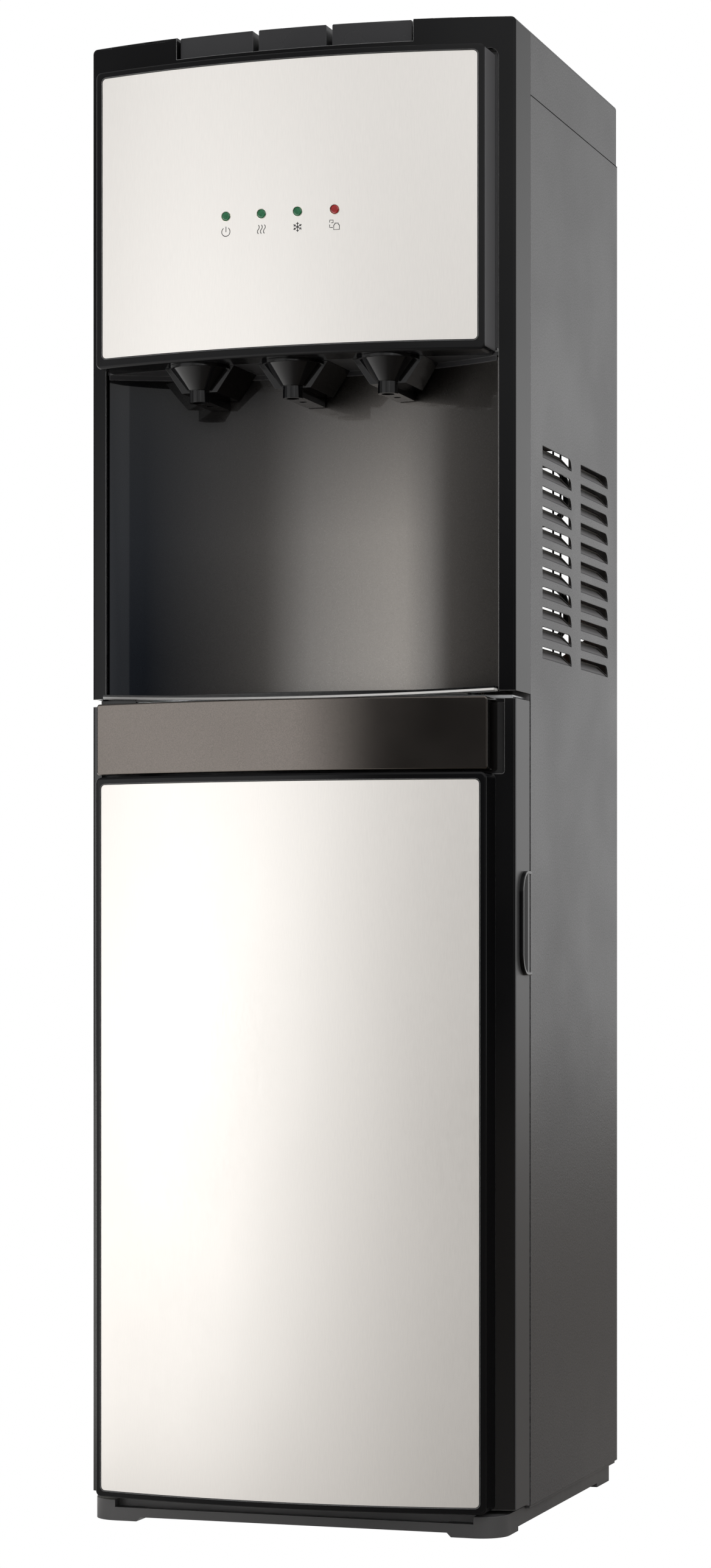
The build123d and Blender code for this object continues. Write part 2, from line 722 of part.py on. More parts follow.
def tap(x):
    """Spout and cone, the hull and its keel that run back to the wall, and the valve block above."""
    with BuildPart() as body:
        with BuildSketch(Plane(origin=(x, tap_y, 0), x_dir=(1, 0, 0), z_dir=(0, -1, 0))):
            with BuildLine():
                Polyline((0, spout_bottom), (spout_radius, spout_bottom), (spout_radius, spout_top),
                         (cone_foot, spout_top), (cone_head, cap_level), (cap_radius, cap_level),
                         (cap_radius, tap_top), (0, tap_top), close=True)
            make_face()
        revolve(axis=Axis((x, tap_y, 0), (0, 0, 1)))
        with BuildSketch(Plane.XZ.offset(-tap_y)):
            with BuildLine():
                Polyline((x - hull_head, tap_top), (x - hull_foot, hull_bottom), (x - keel_half, hull_bottom),
                         (x - keel_half, keel_bottom), (x + keel_half, keel_bottom),
                         (x + keel_half, hull_bottom), (x + hull_foot, hull_bottom), (x + hull_head, tap_top),
                         close=True)
            make_face()
        extrude(amount=-(liner_mid - tap_y))
        extrude(concave_band(liner_half, wall_gap, 50.0, keel_bottom - 1), amount=tap_top - keel_bottom + 2,
                mode=Mode.SUBTRACT)
        add(post(x, tap_y, spout_bottom - 1, spout_top + 10, spout_bore), mode=Mode.SUBTRACT)
        add(block(x - block_half, x + block_half, block_front, block_rear, tap_top - 0.5, block_top))
        add(bar_y(x, barb_level, block_rear - 0.5, barb_end, barb_radius))
        add(bar_y(x, barb_level, block_rear - 10, barb_end + 1, 1.8), mode=Mode.SUBTRACT)
        add(post(x, rod_y, rod_bottom - 6, block_top + 1, rod_radius + run_gap), mode=Mode.SUBTRACT)
        add(post(x, bleed_y, keel_bottom - 1, keel_bottom + 3, bleed_radius), mode=Mode.SUBTRACT)
    return body.part


left_tap = tap(-tap_spacing)
left_tap.label = "left_tap"
export_step(left_tap, "parts/left_tap.step")

middle_tap = tap(0)
middle_tap.label = "middle_tap"
export_step(middle_tap, "parts/middle_tap.step")

right_tap = tap(tap_spacing)
right_tap.label = "right_tap"
export_step(right_tap, "parts/right_tap.step")

# ---------------------------------------------------------------- drip tray
tray_lip_half = opening_half - 1.0
smile_low = 573.6
smile_rise = 4.0
smile_height = 3.0
smile_end = smile_low + smile_rise + smile_height
tray_body_half = 121.0
tray_floor = deck_top + seat_gap
tray_floor_thickness = 1.4
grille_bottom = 577.9
grille_thickness = 1.2
tray_wall = 1.5
tray_clearance = 0.8
tray_rib_half = 70.0
tray_rib_y = bow_front + 29.0
lip_front = bow_front - 8.0
lip_rear = bow_front + 6.0


def tray_outline(inset, level):
    """Tray plan: bowed front edge, concave rear edge, straight ends."""
    reach = tray_body_half - inset
    front_mid = lip_rear - 1.5 + inset
    front_end = front_mid + bow(reach)
    rear_mid = liner_mid - tray_clearance - inset
    rear_end = rear_mid - hollow(reach)
    with BuildSketch(Plane.XY.offset(level)) as plan:
        with BuildLine():
            ThreePointArc((-reach, front_end), (0, front_mid), (reach, front_end))
            Line((reach, front_end), (reach, rear_end))
            ThreePointArc((reach, rear_end), (0, rear_mid), (-reach, rear_end))
            Line((-reach, rear_end), (-reach, front_end))
        make_face()
    return plan.sketch


with BuildPart() as smile:
    with BuildSketch(Plane.XZ.offset(-lip_front - 1)):
        with BuildLine():
            ThreePointArc((-tray_lip_half, smile_low + smile_rise), (0, smile_low),
                          (tray_lip_half, smile_low + smile_rise))
            Line((tray_lip_half, smile_low + smile_rise), (tray_lip_half, smile_end))
            ThreePointArc((tray_lip_half, smile_end), (0, smile_low + smile_height),
                          (-tray_lip_half, smile_end))
            Line((-tray_lip_half, smile_end), (-tray_lip_half, smile_low + smile_rise))
        make_face()
    extrude(amount=50, both=True)
    extrude(bowed_band(tray_lip_half, lip_front, lip_rear - lip_front, smile_low - 1),
            amount=smile_height + smile_rise + 2, mode=Mode.INTERSECT)
    extrude(concave_band(tray_lip_half + 1, tray_clearance, 20, smile_low - 1),
            amount=smile_height + smile_rise + 2, mode=Mode.SUBTRACT)

with BuildPart() as drip_tray:
    extrude(tray_outline(0, tray_floor), amount=grille_bottom + grille_thickness - tray_floor)
    extrude(tray_outline(tray_wall, tray_floor + tray_floor_thickness), amount=10, mode=Mode.SUBTRACT)
    add(smile.part)
    add(block(-tray_rib_half, tray_rib_half, tray_rib_y - 1, tray_rib_y + 1, tray_floor + 1,
              grille_bottom - 0.1))
drip_tray.part.label = "drip_tray"
export_step(drip_tray.part, "parts/drip_tray.step")

# ---------------------------------------------------------------- drip grille
grille_margin = 7.0
grille_slot = 3.0
grille_pitch = 8.0

with BuildPart() as grille_slots:
    with BuildSketch(Plane.XY.offset(grille_bottom - 1)):
        with Locations((0, liner_mid - 30)):
            with GridLocations(grille_pitch, 0, 25, 1):
                Rectangle(grille_slot, 100)
    extrude(amount=grille_thickness + 2)
    extrude(tray_outline(tray_wall + grille_margin, grille_bottom - 1), amount=grille_thickness + 2,
            mode=Mode.INTERSECT)

with BuildPart() as drip_grille:
    extrude(tray_outline(tray_wall + 0.4, grille_bottom), amount=grille_thickness)
    add(grille_slots.part, mode=Mode.SUBTRACT)
drip_grille.part.label = "drip_grille"
export_step(drip_grille.part, "parts/drip_grille.step")

# ---------------------------------------------------------------- door shell
door_rear = shell_rear - 2.5
band_split = 521.0
band_opening = half - 7.5
handle_bottom = 383.0
handle_top = 455.0
handle_front = bow_front + 30.3
handle_corner = 15.0
handle_wall = 2.0
handle_seam = 1.0           # the handle's collar laps the shell by this much
hinge_x = 8.5 - half
hinge_y = bow_front + 31.0
pin_radius = 3.0
bush_radius = 4.9
bush_height = 9.0


def handle_outline(inset, level):
    """Rounded outline of the handle on the door's side; it runs on past the door's rear edge."""
    with BuildSketch(Plane.YZ.offset(level)) as outline:
        with Locations((door_rear, (handle_bottom + handle_top) / 2)):
            RectangleRounded(2 * (door_rear - handle_front - inset), handle_top - handle_bottom - 2 * inset,
                             handle_corner - inset)
    return outline.sketch


with BuildPart() as door_shell:
    extrude(bowed_outline(half, bow_front, door_rear, door_bottom), amount=door_top - door_bottom)
    fillet(door_shell.edges().filter_by(Axis.Z).group_by(Axis.Y)[0], side_round)
    extrude(bowed_outline(half - shell_wall, bow_front + shell_wall, door_rear + 1, door_bottom + shell_wall),
            amount=door_top - door_bottom - 2 * shell_wall, mode=Mode.SUBTRACT)
    extrude(front_window(band_opening, band_split, door_top + 20, 2.0), amount=back + 10, mode=Mode.SUBTRACT)
    extrude(bowed_outline(band_opening + 1, bow_front + 4.4, door_rear, door_top - shell_wall),
            amount=shell_wall)
    extrude(handle_outline(handle_seam, half - shell_wall - 1), amount=shell_wall + 2, mode=Mode.SUBTRACT)
    for z0 in (door_bottom + shell_wall - 0.5, door_top - shell_wall - bush_height + 0.5):
        add(post(hinge_x, hinge_y, z0, z0 + bush_height, bush_radius))
    add(post(hinge_x, hinge_y, door_bottom - 1, door_bottom + bush_height + 4, pin_radius + run_gap),
        mode=Mode.SUBTRACT)
    add(post(hinge_x, hinge_y, door_top - bush_height - 4, door_top + 1, pin_radius + run_gap),
        mode=Mode.SUBTRACT)
door_shell.part.label = "door_shell"
export_step(door_shell.part, "parts/door_shell.step")

# ---------------------------------------------------------------- door handle
handle_proud = (2.9, 1.9)   # its collar stands out this far in front and at the door's rear edge
handle_rim = 0.5            # rounding of the collar's outer edge
scoop_depth = 6.0
scoop_front = handle_front + handle_wall
scoop_rear = scoop_front + 20.0
handle_floor = half - scoop_depth - handle_wall

with BuildPart() as scoop:
    with BuildSketch(Plane.XY.offset(handle_bottom)):
        with BuildLine():
            Polyline((half - scoop_depth, scoop_front), (half, scoop_rear), (half, door_rear + 1),
                     (half + 5, door_rear + 1), (half + 5, scoop_front), close=True)
        make_face()
    extrude(amount=handle_top - handle_bottom)
    extrude(handle_outline(handle_wall, handle_floor), amount=scoop_depth + 10, mode=Mode.INTERSECT)

with BuildPart() as door_handle:
    extrude(handle_outline(0, half), amount=handle_proud[0])
    extrude(handle_outline(handle_seam + seat_gap, handle_floor), amount=half - handle_floor)
    with BuildSketch(Plane.XY.offset(handle_bottom)):
        with BuildLine():
            Polyline((half + handle_proud[0], handle_front), (half + handle_proud[1], door_rear),
                     (half - handle_wall, door_rear), (half - handle_wall, scoop_rear),
                     (handle_floor, scoop_front), (handle_floor, handle_front), close=True)
        make_face()
    extrude(amount=handle_top - handle_bottom, mode=Mode.INTERSECT)
    fillet(door_handle.faces().sort_by(Axis.X)[-1].edges().sort_by(Axis.Y)[:-1], handle_rim)
    add(scoop.part, mode=Mode.SUBTRACT)
door_handle.part.label = "door_handle"
export_step(door_handle.part, "parts/door_handle.step")

# ---------------------------------------------------------------- door bezel, panel and band
door_bezel_half = half - 13.2
door_bezel_bottom = door_bottom + 0.2
door_bezel_top = 521.4
door_panel_half = door_bezel_half - 4.7
door_panel_bottom = door_bezel_bottom + 4.8
door_panel_top = door_bezel_top - 5.4
band_bottom = 523.0
band_setback = 2.5
band_wall = 2.5

door_bezel_outer = bezel_box(door_bezel_half, bezel_front, bezel_proud - seat_gap, door_bezel_bottom,
                             door_bezel_top, bezel_corner)
door_bezel_inner = bezel_box(door_bezel_half - bezel_wall, bezel_front + bezel_face, bezel_proud,
                             door_bezel_bottom + bezel_wall, door_bezel_top - bezel_wall, bezel_corner - 1)
door_recess = bezel_box(door_panel_half + panel_groove, bezel_front - 5, recess_depth + 5,
                        door_panel_bottom - panel_groove, door_panel_top + panel_groove,
                        panel_corner + panel_groove)

with BuildPart() as door_bezel:
    add(door_bezel_outer)
    fillet(door_bezel.faces().sort_by(Axis.Y)[0].edges(), bezel_round)
    add(door_bezel_inner, mode=Mode.SUBTRACT)
    add(door_recess, mode=Mode.SUBTRACT)
door_bezel.part.label = "door_bezel"
export_step(door_bezel.part, "parts/door_bezel.step")

door_skin = bezel_box(door_panel_half, bezel_front + recess_depth - skin - 0.1, skin, door_panel_bottom,
                      door_panel_top, panel_corner)
door_skin.label = "door_panel"
export_step(door_skin, "parts/door_panel.step")

band_outer = bezel_box(door_bezel_half, bezel_front + band_setback, bezel_proud - band_setback + 4.2,
                       band_bottom, door_top, 2.0)
band_inner = bezel_box(door_bezel_half - band_wall, bezel_front + band_setback + band_wall, bezel_proud + 20,
                       band_bottom + band_wall, door_top - band_wall, 1.0)

with BuildPart() as door_band:
    add(band_outer)
    fillet(door_band.faces().sort_by(Axis.Y)[0].edges(), 1.0)
    add(band_inner, mode=Mode.SUBTRACT)
door_band.part.label = "door_band"
export_step(door_band.part, "parts/door_band.step")

# ---------------------------------------------------------------- door liner
liner_sheet = 1.5
liner_offset = 4.5

with BuildPart() as door_liner:
    extrude(bowed_band(half - shell_wall - seat_gap, bow_front + liner_offset, liner_sheet,
                       door_bottom + shell_wall + seat_gap),
            amount=door_top - door_bottom - 2 * shell_wall - 2 * seat_gap)
door_liner.part.label = "door_liner"
export_step(door_liner.part, "parts/door_liner.step")

# ---------------------------------------------------------------- door magnet and its strike
magnet_bottom = 280.0
magnet_height = 40.0
magnet_inner = half - 12.0
magnet_depth = 11.0
strike_thickness = 1.2

with BuildPart() as door_magnet:
    add(block(magnet_inner, half - shell_wall - seat_gap, door_rear - magnet_depth,
              cabinet_front - strike_thickness - seat_gap, magnet_bottom, magnet_bottom + magnet_height))
door_magnet.part.label = "door_magnet"
export_step(door_magnet.part, "parts/door_magnet.step")

with BuildPart() as magnet_strike:
    add(block(magnet_inner, half - 1.5, cabinet_front - strike_thickness, cabinet_front, magnet_bottom - 4,
              magnet_bottom + magnet_height + 4))
magnet_strike.part.label = "magnet_strike"
export_step(magnet_strike.part, "parts/magnet_strike.step")

# ---------------------------------------------------------------- hinges
upper_block_top = deck_top + 2.0
upper_block_bottom = deck_top - 2.2
tongue_bottom = deck_top
tongue_inset = (11.5, 43.5)
tongue_length = 11.0
lower_plate_top = base_top + 1.8
lower_plate_inset = (7.0, 37.5)
lower_plate_reach = (17.0, 51.0)

with BuildPart() as upper_hinge:
    extrude(bowed_outline(half - 4, bow_front + 6.6, hinge_notch[1] - seat_gap, upper_block_bottom),
            amount=upper_block_top - upper_block_bottom)
    add(block(-half + 4.5, hinge_notch[0] - 0.3, bow_front, 0, upper_block_bottom, upper_block_top),
        mode=Mode.INTERSECT)
    add(block(tongue_inset[0] - half, tongue_inset[1] - half, hinge_notch[1] - 2,
              hinge_notch[1] + tongue_length, tongue_bottom, upper_block_top))
    add(post(hinge_x, hinge_y, door_top - 8, upper_block_bottom + 1, pin_radius))
    for x, y in upper_screws:
        add(post(x, y, tongue_bottom - 1, upper_block_top + 1, screw_shank + run_gap), mode=Mode.SUBTRACT)
upper_hinge.part.label = "upper_hinge"
export_step(upper_hinge.part, "parts/upper_hinge.step")

with BuildPart() as lower_hinge:
    add(block(lower_plate_inset[0] - half, lower_plate_inset[1] - half, bow_front + lower_plate_reach[0],
              bow_front + lower_plate_reach[1], base_top, lower_plate_top))
    add(post(hinge_x, hinge_y, lower_plate_top - 1, door_bottom + bush_height + 2, pin_radius))
    for x, y in lower_screws:
        add(post(x, y, base_top - 1, lower_plate_top + 1, screw_shank + run_gap), mode=Mode.SUBTRACT)
        add(post(x, y, lower_plate_top - head_height, lower_plate_top + 1, screw_head + run_gap),
            mode=Mode.SUBTRACT)
lower_hinge.part.label = "lower_hinge"
export_step(lower_hinge.part, "parts/lower_hinge.step")


def screws(spots, tip, head_foot):
    """Group of like screws standing head up at the given plan spots."""
    with BuildPart() as group:
        for x, y in spots:
            add(post(x, y, tip, head_foot, screw_shank))
            add(post(x, y, head_foot, head_foot + head_height, screw_head))
            add(post(x, y, head_foot + head_height - socket_depth, head_foot + head_height + 1,
                     socket_radius), mode=Mode.SUBTRACT)
    return group.part


lower_screw_group = screws(lower_screws, base_top - 2.9, lower_plate_top - head_height)
upper_screw_group = screws(upper_screws, deck_top - deck_lip, upper_block_top)
# ---------------------------------------------------------------- tank shelf
hose_radius = 5.2
hose_bore = 3.26
port_radius = 3.2
port_bore = 2.0
tank_wall = 1.0
shelf_bottom = shelf_top - 1.2
shelf_skirt = 10.0
tank_y = 30.0
tank_spacing = 69.0
supply_x = hose_hole_x
supply_y = hose_hole_y
riser_level = shelf_top + 18.8
suction_spot = (40.0, rear_inner - 42.0)
capillary_spot = (99.0, rear_inner - 26.0)

with BuildPart() as tank_shelf:
    add(block(-half + sheet + seat_gap, half - sheet - seat_gap, cabinet_front + sheet + seat_gap,
              rear_inner - seat_gap, shelf_bottom, shelf_top))
    for side in (-1, 1):
        x0, x1 = sorted((side * (half - sheet - seat_gap), side * (half - 2 * sheet - seat_gap)))
        add(block(x0, x1, cabinet_front + sheet + seat_gap, rear_inner - seat_gap, shelf_bottom - shelf_skirt,
                  shelf_top))
    for x, y, hole in ((supply_x, supply_y, 7.0), (*suction_spot, 5.0), (*capillary_spot, 4.0)):
        add(post(x, y, shelf_bottom - 1, shelf_top + 1, hole), mode=Mode.SUBTRACT)
tank_shelf.part.label = "tank_shelf"
export_step(tank_shelf.part, "parts/tank_shelf.step")

# ---------------------------------------------------------------- cold tank and its insulation
cold_radius = 56.0
cold_foam = 10.0
cold_bottom = shelf_top + 10.8
cold_top = cover_seam - 10.4
foam_top = cover_seam + 6.6
soft_gap = 0.3
port_level = shelf_top + 24.8
feed_y = 60.0
cold_port_end = -50.0
drain_stub_end = 112.0

with BuildPart() as cold_tank:
    add(post(tank_spacing, tank_y, cold_bottom, cold_top, cold_radius))
    fillet(cold_tank.edges().filter_by(GeomType.CIRCLE), 1.5)
    add(bar_y(tank_spacing, port_level, cold_port_end, tank_y, port_radius))
    add(bar_y(drain_x, drain_level, tank_y + 20, drain_stub_end, port_radius))
    add(post(tank_spacing, feed_y, cold_top - 10, foam_top + 7, port_radius))
    add(post(tank_spacing, tank_y, cold_bottom + tank_wall, cold_top - tank_wall, cold_radius - tank_wall),
        mode=Mode.SUBTRACT)
    add(bar_y(tank_spacing, port_level, cold_port_end - 1, tank_y, port_bore), mode=Mode.SUBTRACT)
    add(bar_y(drain_x, drain_level, tank_y, drain_stub_end + 1, port_bore), mode=Mode.SUBTRACT)
    add(post(tank_spacing, feed_y, cold_top - 10, foam_top + 8, port_bore), mode=Mode.SUBTRACT)
cold_tank.part.label = "cold_tank"
export_step(cold_tank.part, "parts/cold_tank.step")

with BuildPart() as cold_insulation:
    add(post(tank_spacing, tank_y, shelf_top, foam_top, cold_radius + cold_foam))
    add(post(tank_spacing, tank_y, cold_bottom - soft_gap, cold_top + soft_gap, cold_radius + soft_gap),
        mode=Mode.SUBTRACT)
    add(bar_y(tank_spacing, port_level, cold_port_end, tank_y, port_radius + soft_gap), mode=Mode.SUBTRACT)
    add(bar_y(drain_x, drain_level, tank_y, drain_stub_end, port_radius + soft_gap), mode=Mode.SUBTRACT)
    add(post(tank_spacing, feed_y, cold_top - 5, foam_top + 1, port_radius + soft_gap), mode=Mode.SUBTRACT)
cold_insulation.part.label = "cold_insulation"
export_step(cold_insulation.part, "parts/cold_insulation.step")

# ---------------------------------------------------------------- hot tank
hot_radius = 50.0
hot_top = cover_seam - 8.4
hot_port_end = -34.0
hot_shoulder = 14.0

with BuildPart() as hot_tank:
    add(post(-tank_spacing, tank_y, shelf_top, hot_top, hot_radius))
    fillet(hot_tank.edges().filter_by(GeomType.CIRCLE).sort_by(Axis.Z)[-1], hot_shoulder)
    add(bar_y(-tank_spacing, port_level, hot_port_end, tank_y, port_radius))
    add(post(-tank_spacing, tank_y, hot_top - 2, hot_top + 10, 12.0))
    add(post(-tank_spacing, tank_y, shelf_top + tank_wall, hot_top - hot_shoulder, hot_radius - tank_wall),
        mode=Mode.SUBTRACT)
    add(bar_y(-tank_spacing, port_level, hot_port_end - 1, tank_y, port_bore), mode=Mode.SUBTRACT)
hot_tank.part.label = "hot_tank"
export_step(hot_tank.part, "parts/hot_tank.step")

# ---------------------------------------------------------------- pump
pump_y = 100.0
pump_head_x = (20.0, 50.0)
pump_bottom = 520.0
motor_radius = 24.0
motor_level = 546.0
inlet_spot = (42.0, 548.0)
outlet_spot = (28.0, 530.0)
pump_face = 72.0
pump_barb = 14.0
bracket_bottom = 571.8

with BuildPart() as pump:
    add(block(-45, 55, pump_y - 30, pump_y + 30, bracket_bottom, deck_top - deck_sheet))
    add(block(pump_head_x[0], pump_head_x[1], pump_face, 2 * pump_y - pump_face, pump_bottom,
              bracket_bottom + 0.5))
    add(bar_x(-40, pump_head_x[0] + 1, pump_y, motor_level, motor_radius))
    fillet(pump.edges().filter_by(GeomType.CIRCLE).sort_by(Axis.X)[0], 3.0)
    add(block(-30, 10, pump_y - 8, pump_y + 8, motor_level, bracket_bottom + 0.5))
    for x, z in (inlet_spot, outlet_spot):
        add(bar_y(x, z, pump_face - pump_barb, pump_face + 1, port_radius))
pump.part.label = "pump"
export_step(pump.part, "parts/pump.step")

# ---------------------------------------------------------------- probe on its hook
probe_x = half - 36.5
probe_y = -58.0
probe_radius = 8.0
probe_bottom = 125.0
collar_bottom = 512.0
collar_top = 526.0
collar_radius = 22.0
collar_nipple = 10.0
hook_half = 14.0
hook_reach = 18.0
hook_drop = 34.0
hook_slot = probe_radius + 0.5

with BuildPart() as probe:
    add(post(probe_x, probe_y, probe_bottom, collar_top, probe_radius))
    add(post(probe_x, probe_y, collar_bottom, collar_top, collar_radius))
    fillet(probe.edges().filter_by(GeomType.CIRCLE).group_by(SortBy.RADIUS)[-1], 2.0)
    add(post(probe_x, probe_y, collar_top - 1, collar_top + collar_nipple, port_radius))
    add(post(probe_x, probe_y, probe_bottom - 1, collar_top + collar_nipple + 1, 2.0), mode=Mode.SUBTRACT)
probe.part.label = "probe"
export_step(probe.part, "parts/probe.step")

with BuildPart() as probe_hook:
    add(block(probe_x - hook_half, half - sheet - seat_gap, probe_y - hook_half, probe_y + hook_reach,
              collar_bottom - seat_gap - 3, collar_bottom - seat_gap))
    add(block(half - sheet - seat_gap - 2, half - sheet - seat_gap, probe_y - hook_half,
              probe_y + hook_reach, collar_bottom - hook_drop, collar_bottom - seat_gap))
    add(post(probe_x, probe_y, collar_bottom - 5, collar_bottom + 1, hook_slot), mode=Mode.SUBTRACT)
    add(block(probe_x - hook_slot, probe_x + hook_slot, probe_y - hook_half - 1, probe_y,
              collar_bottom - 5, collar_bottom + 1), mode=Mode.SUBTRACT)
probe_hook.part.label = "probe_hook"
export_step(probe_hook.part, "parts/probe_hook.step")

hose_level = inlet_spot[1]
suction_hose = tube(((probe_x, probe_y, collar_top + 0.3), (probe_x, probe_y, hose_level),
                     (probe_x, 20, hose_level), (inlet_spot[0], 20, hose_level),
                     (inlet_spot[0], pump_face - 0.3, hose_level)), hose_radius, hose_bore)
suction_hose.label = "suction_hose"
export_step(suction_hose, "parts/suction_hose.step")

# ---------------------------------------------------------------- supply tee
tee_x = -8.0
tee_arm = 18.0

with BuildPart() as supply_tee:
    add(bar_x(tee_x - 7, tee_x + 7, supply_y, riser_level, hose_radius))
    add(bar_x(tee_x - tee_arm, tee_x + tee_arm, supply_y, riser_level, port_radius))
    add(bar_y(tee_x, riser_level, supply_y - tee_arm, supply_y, port_radius))
supply_tee.part.label = "supply_tee"
export_step(supply_tee.part, "parts/supply_tee.step")

# ---------------------------------------------------------------- water hoses
tap_run_y = barb_end + 11.0
hot_hose_end = tank_y - hot_radius - soft_gap
cold_hose_end = tank_y - cold_radius - cold_foam - soft_gap
left_hose = tube(((-tap_spacing, block_rear + 0.3, barb_level), (-tap_spacing, tap_run_y, barb_level),
                  (-tap_spacing, tap_run_y, port_level), (-tap_spacing, hot_hose_end, port_level)),
                 hose_radius, hose_bore)
right_hose = tube(((tap_spacing, block_rear + 0.3, barb_level), (tap_spacing, tap_run_y, barb_level),
                   (tap_spacing, tap_run_y, port_level), (tap_spacing, cold_hose_end, port_level)),
                  hose_radius, hose_bore)
middle_hose = tube(((0, block_rear + 0.3, barb_level), (0, tap_run_y, barb_level),
                    (0, tap_run_y, riser_level), (tee_x, tap_run_y + 40, riser_level),
                    (tee_x, supply_y - hose_radius - 0.3, riser_level)),
                   hose_radius, hose_bore)
supply_hose = tube(((outlet_spot[0], pump_face - 0.3, outlet_spot[1]), (outlet_spot[0], 44, outlet_spot[1]),
                    (supply_x, 44, outlet_spot[1]), (supply_x, supply_y, outlet_spot[1]),
                    (supply_x, supply_y, riser_level), (tee_x - 7.3, supply_y, riser_level)),
                   hose_radius, hose_bore)
feed_level = foam_top + 16.0
feed_hose = tube(((tee_x + 7.3, supply_y, riser_level), (tank_spacing, supply_y, riser_level),
                  (tank_spacing, supply_y, feed_level), (tank_spacing, feed_y, feed_level),
                  (tank_spacing, feed_y, foam_top + 0.3)), hose_radius, hose_bore)
drain_hose_end = rear_inner - 8.5
with BuildPart() as drain_hose:
    add(bar_y(drain_x, drain_level, tank_y + cold_radius + cold_foam, drain_hose_end, hose_radius))
    add(bar_y(drain_x, drain_level, tank_y, rear_inner, hose_bore), mode=Mode.SUBTRACT)

with BuildPart() as water_hoses:
    add(left_hose)
    add(middle_hose)
    add(right_hose)
    add(supply_hose)
    add(feed_hose)
    add(drain_hose.part)
water_hoses.part.label = "water_hoses"
export_step(water_hoses.part, "parts/water_hoses.step")

# ---------------------------------------------------------------- compressor
can_x = 10.0
plate_size = (146.0, 102.0)
plate_corner = 10.0
can_y = 40.0
can_radius = 58.0
can_shell = 12.0            # shell with the windings inside taken as one thick wall
plate_bottom = deck_top + 8.2
plate_top = plate_bottom + 2.4
can_top = plate_top + 156.0
foot_spots = ((can_x - 62, can_y - 40), (can_x + 62, can_y - 40), (can_x - 62, can_y + 40),
              (can_x + 62, can_y + 40))
foot_radius = 9.0
stud_radius = 2.8
port_y = can_y + 20.0

with BuildPart() as compressor:
    add(post(can_x, can_y, plate_top - 0.5, can_top, can_radius))
    fillet(compressor.edges().filter_by(GeomType.CIRCLE).sort_by(Axis.Z)[-1], 26.0)
    add(post(can_x, can_y, (plate_top + can_top) / 2 - 3, (plate_top + can_top) / 2 + 3, can_radius + 3))
    with BuildSketch(Plane.XY.offset(plate_bottom)):
        with Locations((can_x, can_y)):
            RectangleRounded(*plate_size, plate_corner)
        with Locations(*foot_spots):
            Circle(stud_radius + 0.4, mode=Mode.SUBTRACT)
    extrude(amount=plate_top - plate_bottom)
    add(post(can_x, can_y, plate_top + 20, can_top - 30, can_radius - can_shell), mode=Mode.SUBTRACT)
    add(bar_x(can_x, can_x + can_radius + 1, port_y, gas_spot[1], 1.5), mode=Mode.SUBTRACT)
compressor.part.label = "compressor"
export_step(compressor.part, "parts/compressor.step")

with BuildPart() as compressor_feet:
    with BuildSketch(Plane.XY.offset(deck_top)):
        with Locations(*foot_spots):
            Circle(foot_radius)
            Circle(stud_radius + 0.4, mode=Mode.SUBTRACT)
    extrude(amount=plate_bottom - deck_top)
compressor_feet.part.label = "compressor_feet"
export_step(compressor_feet.part, "parts/compressor_feet.step")

# ---------------------------------------------------------------- hinge screws, foot studs and nuts
nut_radius = 5.2
nut_height = 4.5
stud_end = plate_top + 6.0

with BuildPart() as fasteners:
    add(lower_screw_group)
    add(upper_screw_group)
    for x, y in foot_spots:
        add(post(x, y, deck_top, stud_end, stud_radius))
        with BuildSketch(Plane.XY.offset(plate_top)):
            with Locations((x, y)):
                RegularPolygon(nut_radius, 6)
        extrude(amount=nut_height)
fasteners.part.label = "fasteners"
export_step(fasteners.part, "parts/fasteners.step")

# ---------------------------------------------------------------- condenser on the back
row_half = half - 37.5
wire_radius = 0.8
wire_pitch = 15.28          # on each face; the two faces are staggered by half of it
outer_wires = 15
inner_wires = 16
wire_margin = 14.0
pipe_radius = 2.4
condenser_y = rear_outer + 9.0
inner_end = rear_outer + 0.6     # its two ends stop just behind the rear panel
row_high = row_low + (serpentine_rows - 1) * row_pitch

condenser_route = [(liquid_spot[0], inner_end, liquid_spot[1]), (liquid_spot[0], condenser_y, liquid_spot[1]),
                   (liquid_spot[0], condenser_y, row_low), (-row_half, condenser_y, row_low)]
for row in range(1, serpentine_rows - 1):
    level = row_low + row * row_pitch
    near = -row_half if row % 2 == 1 else row_half
    condenser_route.append((near, condenser_y, level))
    condenser_route.append((-near, condenser_y, level))
condenser_route.append((-row_half, condenser_y, row_high))
condenser_route.append((gas_spot[0], condenser_y, row_high))
condenser_route.append((gas_spot[0], condenser_y, gas_spot[1]))
condenser_route.append((gas_spot[0], inner_end, gas_spot[1]))
serpentine = tube(condenser_route, pipe_radius)

with BuildPart() as condenser:
    add(serpentine)
    for face, wires in ((-1, inner_wires), (1, outer_wires)):
        y = condenser_y + face * (pipe_radius + wire_radius + soft_gap)
        with BuildSketch(Plane.XY.offset(row_low - wire_margin)):
            with Locations((0, y)):
                with GridLocations(wire_pitch, 0, wires, 1):
                    Circle(wire_radius)
        extrude(amount=row_high - row_low + 2 * wire_margin)
condenser.part.label = "condenser"
export_step(condenser.part, "parts/condenser.step")

# ---------------------------------------------------------------- copper pipes and filter drier
drier_radius = 8.0
drier_bottom = 616.0
drier_top = 700.0
drier_neck = 10.0
suction_level = 690.0
suction_radius = 3.5
return_level = 880.0
capillary_radius = 1.2
capillary_level = 900.0


def clear_of(radius, offset, pipe):
    """Nearest a pipe of this radius, square-cut, can end to a round wall at this offset."""
    return sqrt(radius ** 2 - (abs(offset) - pipe) ** 2) + soft_gap


